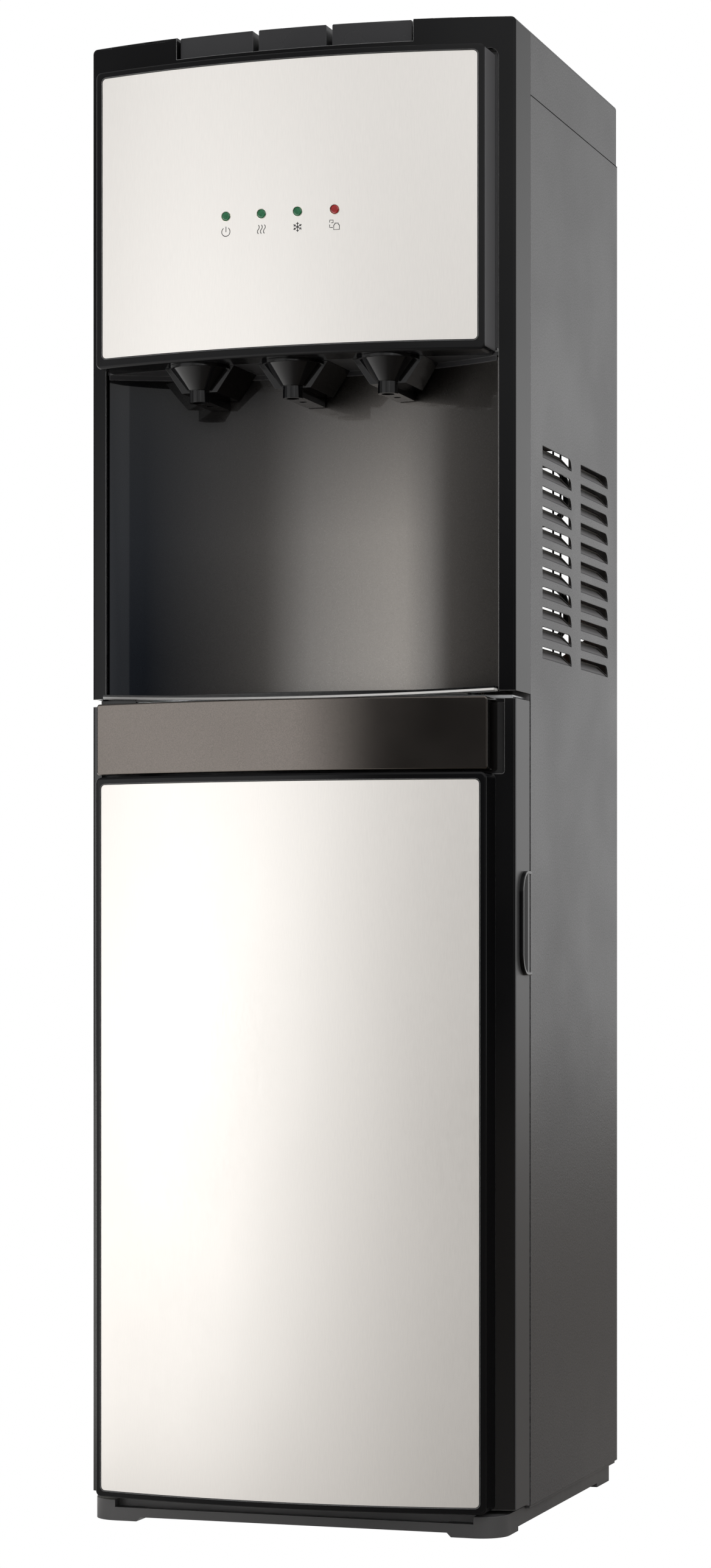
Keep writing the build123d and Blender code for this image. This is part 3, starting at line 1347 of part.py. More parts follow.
discharge_start = can_x + clear_of(can_radius, port_y - can_y, pipe_radius)
suction_start = can_y + clear_of(can_radius, suction_spot[0] - can_x, suction_radius)
suction_end = tank_y + clear_of(cold_radius + cold_foam, suction_spot[0] - tank_spacing, suction_radius)
capillary_end = tank_y + clear_of(cold_radius + cold_foam, 36.0, capillary_radius)

discharge_pipe = tube(((discharge_start, port_y, gas_spot[1]), (gas_spot[0], port_y, gas_spot[1]),
                       (gas_spot[0], inner_end - 0.3, gas_spot[1])), pipe_radius)
liquid_pipe = tube(((liquid_spot[0], inner_end - 0.3, liquid_spot[1]),
                    (liquid_spot[0], capillary_spot[1], liquid_spot[1]), (*capillary_spot, liquid_spot[1]),
                    (*capillary_spot, drier_bottom + 1)), pipe_radius)
capillary_pipe = tube(((*capillary_spot, drier_top - 1), (*capillary_spot, capillary_level),
                       (tank_spacing + 36, capillary_end, capillary_level)), capillary_radius)
suction_pipe = tube(((suction_spot[0], suction_start, suction_level), (*suction_spot, suction_level),
                     (*suction_spot, return_level), (suction_spot[0], suction_end, return_level)),
                    suction_radius)

with BuildPart() as copper_pipes:
    with BuildSketch(Plane(origin=(*capillary_spot, 0), x_dir=(1, 0, 0), z_dir=(0, -1, 0))):
        with BuildLine():
            Polyline((0, drier_bottom), (pipe_radius + 1, drier_bottom),
                     (drier_radius, drier_bottom + drier_neck), (drier_radius, drier_top - drier_neck),
                     (pipe_radius + 1, drier_top), (0, drier_top), close=True)
        make_face()
    revolve(axis=Axis((*capillary_spot, 0), (0, 0, 1)))
    add(liquid_pipe)
    add(capillary_pipe)
    add(discharge_pipe)
    add(suction_pipe)
copper_pipes.part.label = "copper_pipes"
export_step(copper_pipes.part, "parts/copper_pipes.step")

# ---------------------------------------------------------------- control board
circuit_x = 14.5 - half
circuit_y = (rear_inner - 84.0, rear_inner - 6.0)
circuit_z = (cover_seam - 113.4, cover_seam - 23.4)
circuit_thickness = 1.6
circuit_edge = 6.0
transformer = (15.0, 10.0, 28.0, 55.0, 80.0)    # height, then front, rear, low and high on the board
relays = ((12.0, 36.0, 50.0, 60.0, 78.0), (12.0, 54.0, 68.0, 60.0, 78.0))
power_supply = (18.0, 14.0, 42.0, 12.0, 42.0)
capacitor = (16.0, 60.0, 25.0, 7.0)             # length, place along and up the board, radius

with BuildPart() as control_board:
    add(block(circuit_x, circuit_x + circuit_thickness, *circuit_y, *circuit_z))
    for y in (circuit_y[0] + circuit_edge, circuit_y[1] - circuit_edge):
        for z in (circuit_z[0] + circuit_edge, circuit_z[1] - circuit_edge):
            add(bar_x(-half + sheet + seat_gap, circuit_x + 0.5, y, z, 3.0))
    chip_face = circuit_x + circuit_thickness - 0.2
    for tall, front, rear, low, high in (transformer, *relays, power_supply):
        add(block(chip_face, chip_face + tall, circuit_y[0] + front, circuit_y[0] + rear, circuit_z[0] + low,
                  circuit_z[0] + high))
    add(bar_x(chip_face, chip_face + capacitor[0], circuit_y[0] + capacitor[1], circuit_z[0] + capacitor[2],
              capacitor[3]))
control_board.part.label = "control_board"
export_step(control_board.part, "parts/control_board.step")

# ---------------------------------------------------------------- rear switches
switch_gap = 0.2
switch_flange = (17.0, 26.0, 2.0)
switch_depth = 18.0
switch_opening = (10.4, 18.4)
rocker_width = 9.8
rocker_half = 7.6
rocker_tilt = 8.0
rocker_pivot = rear_outer - 2.0
axle_radius = 1.2

with BuildPart() as switch_frames:
    for x in switch_x:
        add(block(x - switch_flange[0] / 2, x + switch_flange[0] / 2, rear_outer,
                  rear_outer + switch_flange[2], switch_level - switch_flange[1] / 2,
                  switch_level + switch_flange[1] / 2))
        add(block(x - switch_hole[0] / 2 + switch_gap, x + switch_hole[0] / 2 - switch_gap,
                  rear_outer - switch_depth, rear_outer + 1, switch_level - switch_hole[1] / 2 + switch_gap,
                  switch_level + switch_hole[1] / 2 - switch_gap))
        add(block(x - switch_opening[0] / 2, x + switch_opening[0] / 2, rear_outer - 8, rear_outer + 5,
                  switch_level - switch_opening[1] / 2, switch_level + switch_opening[1] / 2),
            mode=Mode.SUBTRACT)
        add(bar_x(x - switch_opening[0] / 2 - 0.8, x + switch_opening[0] / 2 + 0.8, rocker_pivot,
                  switch_level, axle_radius + run_gap), mode=Mode.SUBTRACT)
        for z in (switch_level - 6, switch_level + 6):
            add(block(x - 2.4, x + 2.4, rear_outer - switch_depth - 7, rear_outer - switch_depth + 1, z - 0.4,
                      z + 0.4))
switch_frames.part.label = "switch_frames"
export_step(switch_frames.part, "parts/switch_frames.step")


def rocker(x):
    """Rocker paddle resting on one of its two stops."""
    with BuildPart() as paddle:
        with BuildSketch(Plane.YZ.offset(x - rocker_width / 2)):
            with BuildLine():
                Polyline((-3.0, -4.6), (3.0, -rocker_half), (8.0, -rocker_half), (6.2, 0.0),
                         (8.0, rocker_half), (3.0, rocker_half), (-3.0, 4.6), close=True)
            make_face()
        extrude(amount=rocker_width)
        add(bar_x(x - rocker_width / 2 - 0.9, x + rocker_width / 2 + 0.9, 0, 0, axle_radius))
    turned = paddle.part.rotate(Axis.X, -rocker_tilt)
    return turned.moved(Location((0, rocker_pivot, switch_level)))


heating_switch = rocker(switch_x[0])
heating_switch.label = "heating_switch"
export_step(heating_switch, "parts/heating_switch.step")

cooling_switch = rocker(switch_x[1])
cooling_switch.label = "cooling_switch"
export_step(cooling_switch, "parts/cooling_switch.step")

# ---------------------------------------------------------------- drain
spigot_flange = 12.0
spigot_radius = 7.0
spigot_end = rear_outer + 11.0
cap_bore_gap = 0.08
cap_wall = 2.2
cap_head = 2.5

with BuildPart() as drain_spigot:
    add(bar_y(drain_x, drain_level, rear_outer, rear_outer + 2, spigot_flange))
    add(bar_y(drain_x, drain_level, rear_inner - 7, rear_outer + 1, drain_hole - 0.3))
    add(bar_y(drain_x, drain_level, rear_outer, spigot_end, spigot_radius))
    add(bar_y(drain_x, drain_level, drain_hose_end - 12, rear_inner, port_radius))
    add(bar_y(drain_x, drain_level, drain_hose_end - 14, spigot_end + 1, 1.8), mode=Mode.SUBTRACT)
drain_spigot.part.label = "drain_spigot"
export_step(drain_spigot.part, "parts/drain_spigot.step")

with BuildPart() as drain_cap:
    add(bar_y(drain_x, drain_level, rear_outer + 2.4, spigot_end + 0.3 + cap_head,
              spigot_radius + cap_bore_gap + cap_wall))
    with BuildSketch(Plane.XZ.offset(-(rear_outer + 2.4))):
        with Locations((drain_x, drain_level)):
            with PolarLocations(spigot_radius + cap_bore_gap + cap_wall, 16):
                Circle(0.7)
    extrude(amount=-(spigot_end + 0.3 + cap_head - rear_outer - 2.4))
    add(bar_y(drain_x, drain_level, rear_outer, spigot_end + 0.3, spigot_radius + cap_bore_gap),
        mode=Mode.SUBTRACT)
drain_cap.part.label = "drain_cap"
export_step(drain_cap.part, "parts/drain_cap.step")

# ---------------------------------------------------------------- cable gland
gland_flange = 11.0
gland_bore = 4.0

with BuildPart() as cable_gland:
    add(bar_y(gland_x, gland_level, rear_outer, rear_outer + 3, gland_flange))
    add(bar_y(gland_x, gland_level, rear_inner - 6, rear_outer + 1, gland_hole - 0.3))
    add(bar_y(gland_x, gland_level, rear_outer + 2, rear_outer + 9, gland_bore + 2.5))
    add(bar_y(gland_x, gland_level, rear_inner - 4, rear_inner, gland_flange))
    add(bar_y(gland_x, gland_level, rear_inner - 7, rear_outer + 10, gland_bore), mode=Mode.SUBTRACT)
cable_gland.part.label = "cable_gland"
export_step(cable_gland.part, "parts/cable_gland.step")
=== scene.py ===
import math

import bmesh
import bpy
from mathutils import Matrix, Vector


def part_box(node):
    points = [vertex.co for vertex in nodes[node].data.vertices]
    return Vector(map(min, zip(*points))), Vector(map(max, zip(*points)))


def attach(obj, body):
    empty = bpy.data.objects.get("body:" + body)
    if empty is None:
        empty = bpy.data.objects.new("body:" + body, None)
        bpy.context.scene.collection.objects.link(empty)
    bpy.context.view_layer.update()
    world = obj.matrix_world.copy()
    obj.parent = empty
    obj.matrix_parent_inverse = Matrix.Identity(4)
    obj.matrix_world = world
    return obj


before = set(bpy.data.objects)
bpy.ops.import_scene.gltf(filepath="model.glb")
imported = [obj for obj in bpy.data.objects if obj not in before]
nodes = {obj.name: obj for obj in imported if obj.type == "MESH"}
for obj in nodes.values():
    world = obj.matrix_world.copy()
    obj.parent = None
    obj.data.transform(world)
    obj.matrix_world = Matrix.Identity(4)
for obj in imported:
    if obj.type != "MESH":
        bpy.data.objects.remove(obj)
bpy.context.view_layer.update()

# ------------------------------------------------------------------ base
# Injection-moulded black base with a foot at each corner. The mould left a fine spark texture on its
# faces, and its edges are rubbed a little paler where it has been slid over floors.


def new_finish(name, colour, roughness, metallic=0.0, coat=0.0, shine=0.5):
    """Material for one finish, with its shader and its node tree."""
    made = bpy.data.materials.new(name)
    made.use_nodes = True
    shader = made.node_tree.nodes["Principled BSDF"]
    shader.inputs["Base Color"].default_value = (*colour, 1)
    shader.inputs["Roughness"].default_value = roughness
    shader.inputs["Metallic"].default_value = metallic
    shader.inputs["Coat Weight"].default_value = coat
    shader.inputs["Specular IOR Level"].default_value = shine
    return made, shader, made.node_tree


def feed(tree, socket, value):
    """Give a socket a plain number or colour, or link it to a pattern."""
    if isinstance(value, (int, float)):
        socket.default_value = value
    elif isinstance(value, tuple):
        socket.default_value = (*value, 1)
    else:
        tree.links.new(value, socket)


def reckon(tree, kind, first, second=0.0):
    """One step of arithmetic on patterns or plain numbers."""
    step = tree.nodes.new("ShaderNodeMath")
    step.operation = kind
    feed(tree, step.inputs[0], first)
    feed(tree, step.inputs[1], second)
    return step.outputs[0]


def place_of(tree, cycles, shift=(0, 0, 0)):
    """Coordinates of the piece itself, stretched to so many pattern cycles per metre each way."""
    where = tree.nodes.new("ShaderNodeTexCoord")
    stretch = tree.nodes.new("ShaderNodeMapping")
    stretch.inputs["Scale"].default_value = cycles
    stretch.inputs["Location"].default_value = shift
    tree.links.new(where.outputs["Object"], stretch.inputs["Vector"])
    return stretch.outputs["Vector"]


def mottle(tree, cycles, detail=2.0, shift=(0, 0, 0)):
    """Soft random pattern from 0 to 1."""
    noise = tree.nodes.new("ShaderNodeTexNoise")
    noise.inputs["Scale"].default_value = 1.0
    noise.inputs["Detail"].default_value = detail
    tree.links.new(place_of(tree, cycles, shift), noise.inputs["Vector"])
    return noise.outputs["Fac"]


def between(tree, pattern, low, high, start=0.35, end=0.65):
    """The pattern from start to end, spread over low to high."""
    spread = tree.nodes.new("ShaderNodeMapRange")
    spread.inputs["From Min"].default_value = start
    spread.inputs["From Max"].default_value = end
    spread.inputs["To Min"].default_value = low
    spread.inputs["To Max"].default_value = high
    tree.links.new(pattern, spread.inputs["Value"])
    return spread.outputs["Result"]


def shade_between(tree, share, low, high, blend="MIX"):
    """Colour that goes from low to high with the share. Each may be a colour or a pattern."""
    mix = tree.nodes.new("ShaderNodeMix")
    mix.data_type = "RGBA"
    mix.blend_type = blend
    feed(tree, mix.inputs["Factor"], share)
    feed(tree, mix.inputs["A"], low)
    feed(tree, mix.inputs["B"], high)
    return mix.outputs["Result"]


def relief(tree, pattern, depth, strength=1.0, under=None):
    """Bump of this depth in metres, laid over another one or over a rounded edge."""
    bump = tree.nodes.new("ShaderNodeBump")
    bump.inputs["Distance"].default_value = depth
    bump.inputs["Strength"].default_value = strength
    tree.links.new(pattern, bump.inputs["Height"])
    if under is not None:
        tree.links.new(under, bump.inputs["Normal"])
    return bump.outputs["Normal"]


def rounded_edge(tree, radius):
    """Normal that turns smoothly over sharp edges, and how near each point is to such an edge."""
    bevel = tree.nodes.new("ShaderNodeBevel")
    bevel.samples = 4
    bevel.inputs["Radius"].default_value = radius
    flat = tree.nodes.new("ShaderNodeNewGeometry")
    turn = tree.nodes.new("ShaderNodeVectorMath")
    turn.operation = "DOT_PRODUCT"
    tree.links.new(bevel.outputs["Normal"], turn.inputs[0])
    tree.links.new(flat.outputs["Normal"], turn.inputs[1])
    return bevel.outputs["Normal"], between(tree, turn.outputs["Value"], 1.0, 0.0, 0.86, 0.995)


def moulded_plastic(name, colour, worn, roughness, grain=1400, depth=0.00003, edge=0.0005, shine=0.25):
    """Moulded plastic: fine tool texture, uneven sheen, paler rubbed edges."""
    made, shader, tree = new_finish(name, colour, roughness[0], shine=shine)
    normal, near_edge = rounded_edge(tree, edge)
    patchy = between(tree, mottle(tree, (60, 60, 60), 4.0), 0.2, 1.0)
    rubbed = reckon(tree, "MULTIPLY", near_edge, patchy)
    tree.links.new(shade_between(tree, rubbed, colour, worn), shader.inputs["Base Color"])
    sheen = between(tree, mottle(tree, (18, 18, 18), 5.0), *roughness)
    tree.links.new(sheen, shader.inputs["Roughness"])
    texture = mottle(tree, (grain, grain, grain), 2.0)
    tree.links.new(relief(tree, texture, depth, 0.6, normal), shader.inputs["Normal"])
    return made


def dress(finish, *names):
    """Give CAD pieces their finish."""
    for name in names:
        mesh = nodes[name].data
        mesh.materials.clear()
        mesh.materials.append(finish)


base_plastic = moulded_plastic("base_plastic", (0.062, 0.061, 0.062), (0.15, 0.15, 0.152), (0.34, 0.5),
                               1100, shine=0.5)
dress(base_plastic, "base")

# ------------------------------------------------------------------ bottle tray
# Vacuum-formed black polystyrene floor of the bottle space, with a low ring pressed into it. Bottles
# have dulled it in streaks as they were pushed in.
tray_plastic = moulded_plastic("bottle_tray_plastic", (0.02, 0.02, 0.021), (0.06, 0.06, 0.06), (0.28, 0.55),
                               500, 0.00002)
dress(tray_plastic, "bottle_tray")

# ------------------------------------------------------------------ side panels
# Folded steel sides, powder coated black. The coat has the fine orange peel of a sprayed powder. The flaps
# of the pressed louvres are given a paler grey as painted light, for the light they catch from above.


def along(tree, axis, cycles=1.0):
    """Distance along one of the piece's axes, in metres or in pattern cycles."""
    split = tree.nodes.new("ShaderNodeSeparateXYZ")
    tree.links.new(place_of(tree, (cycles, cycles, cycles)), split.inputs[0])
    return split.outputs[axis]


def powder_coat(name, colour, edge_colour, roughness):
    """Sprayed and baked powder: low orange peel, fine speckle, thin pale coat at the edges."""
    made, shader, tree = new_finish(name, colour, roughness[0])
    normal, near_edge = rounded_edge(tree, 0.0004)
    speckle = between(tree, mottle(tree, (900, 900, 900), 1.0), 0.0, 1.0, 0.3, 0.7)
    speckled = shade_between(tree, speckle, tuple(0.25 * c for c in colour), tuple(3.2 * c for c in colour))
    tree.links.new(shade_between(tree, near_edge, speckled, edge_colour), shader.inputs["Base Color"])
    cloudy = between(tree, mottle(tree, (9, 9, 9), 3.0), *roughness)
    tree.links.new(cloudy, shader.inputs["Roughness"])
    peel = relief(tree, mottle(tree, (620, 620, 620), 2.5), 0.00012, 0.5, normal)
    tree.links.new(relief(tree, speckle, 0.00003, 0.6, peel), shader.inputs["Normal"])
    return made


cabinet_paint = powder_coat("cabinet_paint", (0.026, 0.0255, 0.027), (0.05, 0.05, 0.05), (0.3, 0.36))
side_face = abs(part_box("left_side_panel")[0].x)
paint_tree = cabinet_paint.node_tree
paint_colour = paint_tree.nodes["Principled BSDF"].inputs["Base Color"]
outer_tone = paint_colour.links[0].from_socket
from_middle = reckon(paint_tree, "ABSOLUTE", along(paint_tree, "X"))
# Painted light: the louvre flaps, set in behind the side's face, get a paler grey.
painted_light_on_flaps = between(paint_tree, from_middle, 1.0, 0.0, side_face - 0.0012, side_face - 0.0006)
paint_tree.links.new(shade_between(paint_tree, painted_light_on_flaps, outer_tone, (0.22, 0.215, 0.22)), paint_colour)
dress(cabinet_paint, "left_side_panel", "right_side_panel")

# ------------------------------------------------------------------ louvre edges
# The pressed flap of each louvre ends in a rolled edge. Its gloss black is painted shade: it stands for
# the dark band of shade along the slit.


def rolled_line(name, lines, radius, finish, pressed=None):
    """Round lines of one radius, as one mesh on the cabinet, with its points pressed into place."""
    stroke = bpy.data.curves.new(name, "CURVE")
    stroke.dimensions = "3D"
    stroke.bevel_depth = radius
    stroke.bevel_resolution = 2
    stroke.use_fill_caps = True
    for line in lines:
        spline = stroke.splines.new("POLY")
        spline.points.add(len(line) - 1)
        for point, place in zip(spline.points, line):
            point.co = (*place, 1)
    bpy.ops.object.select_all(action="DESELECT")
    drawn_line = bpy.data.objects.new(name, stroke)
    bpy.context.collection.objects.link(drawn_line)
    drawn_line.select_set(True)
    bpy.context.view_layer.objects.active = drawn_line
    bpy.ops.object.convert(target="MESH")
    if pressed is not None:
        for vertex in drawn_line.data.vertices:
            vertex.co = pressed(vertex.co)
    bpy.ops.object.shade_smooth_by_angle(angle=math.radians(40))
    drawn_line.data.materials.append(finish)
    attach(drawn_line, "cabinet")


# Painted shade: gloss black rolled edges that stand for the shade along each louvre's slit.
slit_shade_gloss = moulded_plastic("slit_shade_gloss", (0.008, 0.008, 0.0085), (0.02, 0.02, 0.02), (0.08, 0.16), 300,
                             0.000006, 0.0003, 0.5)
louvre_rows = 11
louvre_pitch = 0.0141
top_louvre = 0.7537
edge_radius = 0.0011
edge_depth = 0.0059          # of the flap's edge behind the side's face
edge_run = (0.0006, 0.066)   # where the level part starts and ends, behind the louvre's front
edge_bend = 0.069            # where it starts to turn outwards
edge_end = 0.0788            # where it meets the side's face
end_drop = 0.007             # how far it has dropped there
for side, side_name in ((-1, "left"), (1, "right")):
    edge_x = side * (side_face - edge_depth)
    for column, front in (("front", -0.0503), ("rear", 0.0559)):
        edges = []
        for row in range(louvre_rows):
            level = top_louvre - louvre_pitch * row
            edges.append([(edge_x, front + edge_run[0], level), (edge_x, front + edge_run[1], level),
                          (edge_x + side * 0.0006, front + edge_bend, level - 0.0009),
                          (side * (side_face - edge_radius), front + edge_end, level - end_drop)])
        rolled_line(f"louvre_edges_{side_name}_{column}", edges, edge_radius, slit_shade_gloss)

# ------------------------------------------------------------------ cover seal and sills
# A black foam strip lies in the joint between the moulded top cover and each steel side. Its black is painted
# shade, for the shade in the joint, so that the joint reads as one dark line along the cabinet. A narrow
# moulded sill closes the gap beside the base.


def start_piece(primitive, **sizes):
    """Add a primitive with nothing else selected, and go into edit mode on it."""
    if bpy.context.object is not None and bpy.context.object.mode != "OBJECT":
        bpy.ops.object.mode_set(mode="OBJECT")
    bpy.ops.object.select_all(action="DESELECT")
    primitive(**sizes)
    piece = bpy.context.object
    bpy.ops.object.transform_apply(location=True, rotation=True, scale=True)
    bpy.ops.object.mode_set(mode="EDIT")
    return piece


def pick_faces(piece, wanted):
    """Select, in edit mode, the faces whose normal and centre pass the test."""
    mesh = bmesh.from_edit_mesh(piece.data)
    bpy.ops.mesh.select_all(action="DESELECT")
    for face in mesh.faces:
        face.select = wanted(face.normal, face.calc_center_median())
    mesh.select_flush(True)
    bmesh.update_edit_mesh(piece.data)


def close_piece(piece, name, bevel=0.0, segments=2):
    """Leave edit mode, round the edges and shade the piece smooth across small angles."""
    bpy.ops.object.mode_set(mode="OBJECT")
    piece.name = name
    piece.data.name = name
    if bevel:
        rounding = piece.modifiers.new("rounding", "BEVEL")
        rounding.width = bevel
        rounding.segments = segments
        rounding.limit_method = "ANGLE"
        bpy.ops.object.modifier_apply(modifier=rounding.name)
    bpy.ops.object.shade_smooth_by_angle(angle=math.radians(40))
    return piece


# Painted shade: the seal is near-black and matte, for the shade in the joint.
seam_shade_foam = moulded_plastic("seam_shade_foam", (0.004, 0.004, 0.004), (0.006, 0.006, 0.006), (0.8, 0.95), 900,
                            0.00006, 0.0002, 0.1)
seal_size = (0.0010, 0.2464, 0.0007)
seal_middle = {"left": -0.15499, "right": 0.1551}
seal_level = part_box("top_cover")[1].z - 0.0457
sill_size = (0.0033, 0.242, 0.0018)
sill_level = 0.0140
for side, side_name in ((-1, "left"), (1, "right")):
    seal = start_piece(bpy.ops.mesh.primitive_cube_add, size=1,
                       location=(seal_middle[side_name], 0.0416, seal_level), scale=seal_size)
    pick_faces(seal, lambda normal, centre: normal.x * side > 0.9)
    bpy.ops.mesh.inset(thickness=0.0001)
    seal = close_piece(seal, f"cover_seal_{side_name}", 0.00008, 1)
    seal.data.materials.append(seam_shade_foam)
    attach(seal, "cabinet")

    sill_x = side * (side_face - 0.0011 - sill_size[0] / 2)
    sill = start_piece(bpy.ops.mesh.primitive_cube_add, size=1, location=(sill_x, 0.041, sill_level),
                       scale=sill_size)
    pick_faces(sill, lambda normal, centre: normal.z > 0.9)
    bpy.ops.mesh.inset(thickness=0.0006)
    bpy.ops.mesh.extrude_region_move(TRANSFORM_OT_translate={"value": (0, 0, 0.0002)})
    sill = close_piece(sill, f"sill_{side_name}", 0.0003, 1)
    sill.data.materials.append(base_plastic)
    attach(sill, "cabinet")

# ------------------------------------------------------------------ rear panel, deck, shelf
# Inner sheet metal of hot-dip galvanised steel: dull spangles, with the drawn lines of the rolling mill
# over them. The deck's front fold shows as the bright strip over the door.


def galvanised(name, colour, roughness, spangle):
    """Zinc with spangles about spangle metres across."""
    made, shader, tree = new_finish(name, colour, roughness[0], 1.0)
    crystals = tree.nodes.new("ShaderNodeTexVoronoi")
    crystals.inputs["Scale"].default_value = 1.0
    crystals.inputs["Randomness"].default_value = 0.9
    each = 1 / spangle
    tree.links.new(place_of(tree, (each, each, each)), crystals.inputs["Vector"])
    split = tree.nodes.new("ShaderNodeSeparateColor")
    tree.links.new(crystals.outputs["Color"], split.inputs["Color"])
    facet = split.outputs["Red"]
    tree.links.new(shade_between(tree, facet, tuple(0.82 * c for c in colour), colour),
                   shader.inputs["Base Color"])
    tree.links.new(between(tree, facet, *roughness, 0.0, 1.0), shader.inputs["Roughness"])
    lines = mottle(tree, (900, 900, 6), 1.0)
    tree.links.new(relief(tree, lines, 0.00002, 0.3, rounded_edge(tree, 0.0003)[0]), shader.inputs["Normal"])
    return made


zinc_sheet = galvanised("zinc_sheet", (0.56, 0.57, 0.58), (0.32, 0.5), 0.008)
dress(zinc_sheet, "rear_panel", "tank_shelf", "mid_deck")

# ------------------------------------------------------------------ compressor
# Hermetic compressor: two deep-drawn steel shells, welded round the middle and stove-enamelled black,
# on grey rubber feet. A plastic cover clipped to its back hides the starting relay.
enamel = moulded_plastic("black_enamel", (0.012, 0.012, 0.012), (0.05, 0.05, 0.05), (0.14, 0.24), 260,
                         0.00004, 0.0008)
foot_rubber = moulded_plastic("foot_rubber", (0.03, 0.03, 0.031), (0.06, 0.06, 0.06), (0.6, 0.8), 700)
dress(enamel, "compressor")
dress(foot_rubber, "compressor_feet")

can_low, can_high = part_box("compressor")
can_middle = (can_low + can_high) / 2
relay_size = (0.044, 0.018, 0.052)
relay_place = (can_middle.x - 0.014, can_middle.y + 0.063, can_middle.z - 0.012)
relay_step = 0.004
relay_panel_sink = 0.0012
relay_cover = start_piece(bpy.ops.mesh.primitive_cube_add, size=1, location=relay_place, scale=relay_size)
pick_faces(relay_cover, lambda normal, centre: normal.y > 0.9)
bpy.ops.mesh.inset(thickness=0.003)
bpy.ops.mesh.extrude_region_move(TRANSFORM_OT_translate={"value": (0, relay_step, 0)})
bpy.ops.mesh.inset(thickness=0.005)
bpy.ops.mesh.extrude_region_move(TRANSFORM_OT_translate={"value": (0, -relay_panel_sink, 0)})
relay_cover = close_piece(relay_cover, "relay_cover", 0.0012)
relay_cover.data.materials.append(base_plastic)
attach(relay_cover, "cabinet")

# ------------------------------------------------------------------ screws, studs and nuts
# Zinc-plated steel: hinge screws, foot studs with their nuts, and the pan-head screws that hold the rear
# panel. Plating leaves a bright skin with a faint blue and yellow cast.


def bright_zinc(name, colour, cast, roughness):
    """Electroplated zinc with a faint colour cast that wanders."""
    made, shader, tree = new_finish(name, colour, roughness[0], 1.0)
    normal = rounded_edge(tree, 0.0002)[0]
    wander = between(tree, mottle(tree, (90, 90, 90), 3.0), 0.0, 1.0)
    tree.links.new(shade_between(tree, wander, colour, cast), shader.inputs["Base Color"])
    tree.links.new(between(tree, mottle(tree, (400, 400, 400), 2.0), *roughness), shader.inputs["Roughness"])
    tree.links.new(relief(tree, mottle(tree, (1500, 1500, 1500), 1.0), 0.00002, 0.3, normal),
                   shader.inputs["Normal"])
    return made


plating = bright_zinc("zinc_plating", (0.66, 0.66, 0.64), (0.62, 0.6, 0.5), (0.18, 0.34))
dress(plating, "fasteners", "lower_hinge", "magnet_strike", "key_pivot_rod")

rear_low, rear_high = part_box("rear_panel")
rear_face = rear_high.y - 0.0168
head_radius = 0.0034
head_height = 0.0018
head_crown = 0.0006
drive_depth = 0.0014
screw_columns = (rear_low.x + 0.008, 0.0, rear_high.x - 0.008)
screw_rows = (rear_low.z + 0.03, rear_low.z + 0.26, rear_high.z - 0.42, rear_high.z - 0.012)
pan_head = start_piece(bpy.ops.mesh.primitive_cylinder_add, vertices=24, radius=head_radius,
                       depth=head_height, location=(0, rear_face + head_height / 2, 0),
                       rotation=(math.radians(-90), 0, 0))
pick_faces(pan_head, lambda normal, centre: normal.y > 0.9)
bpy.ops.mesh.inset(thickness=0.0012)
bpy.ops.mesh.extrude_region_move(TRANSFORM_OT_translate={"value": (0, head_crown, 0)})
bpy.ops.mesh.inset(thickness=0.0006)
bpy.ops.mesh.extrude_region_move(TRANSFORM_OT_translate={"value": (0, -drive_depth, 0)})
pan_head = close_piece(pan_head, "rear_screw", 0.0003)
pan_head.data.materials.append(plating)
for column, x in enumerate(screw_columns):
    for row, z in enumerate(screw_rows):
        if column == 1 and row < 3:     # the middle column has its top screw alone
            continue
        screw = pan_head.copy()
        screw.data = pan_head.data.copy()
        screw.data.transform(Matrix.Translation((x, 0, z)))
        screw.name = f"rear_screw_{column}_{row}"
        bpy.context.collection.objects.link(screw)
        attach(screw, "cabinet")
bpy.data.objects.remove(pan_head)

# ------------------------------------------------------------------ condenser and pipes
# Tube bent back and forth with steel wires welded across it, dipped in black enamel. Inside, bare copper
# pipe has dulled to brown in patches, and the filter drier is the same copper.
dress(enamel, "condenser")
copper, copper_shader, copper_tree = new_finish("bare_copper", (0.72, 0.36, 0.2), 0.28, 1.0)
patina = between(copper_tree, mottle(copper_tree, (45, 45, 45), 5.0), 0.0, 1.0, 0.42, 0.66)
copper_tree.links.new(shade_between(copper_tree, patina, (0.74, 0.37, 0.21), (0.3, 0.14, 0.08)),
                      copper_shader.inputs["Base Color"])
copper_tree.links.new(between(copper_tree, patina, 0.2, 0.5, 0.0, 1.0), copper_shader.inputs["Roughness"])
copper_tree.links.new(relief(copper_tree, mottle(copper_tree, (700, 700, 700), 2.0), 0.00003, 0.3),
                      copper_shader.inputs["Normal"])
dress(copper, "copper_pipes")

# ------------------------------------------------------------------ tanks
# Drawn stainless tanks with satin walls, the cold one in two halves of beaded white foam. The foam's
# beads show as small cells with darker seams between them.
tank_steel, tank_shader, tank_tree = new_finish("tank_steel", (0.66, 0.65, 0.63), 0.3, 1.0)
drawn = mottle(tank_tree, (14, 14, 1600), 2.0)
tank_tree.links.new(between(tank_tree, drawn, 0.24, 0.4), tank_shader.inputs["Roughness"])
tank_tree.links.new(relief(tank_tree, drawn, 0.00002, 0.5), tank_shader.inputs["Normal"])
heat_tint = between(tank_tree, mottle(tank_tree, (30, 30, 8), 3.0), 0.0, 1.0, 0.5, 0.75)
tank_tree.links.new(shade_between(tank_tree, heat_tint, (0.66, 0.65, 0.63), (0.6, 0.5, 0.36)),
                    tank_shader.inputs["Base Color"])
dress(tank_steel, "cold_tank", "hot_tank")

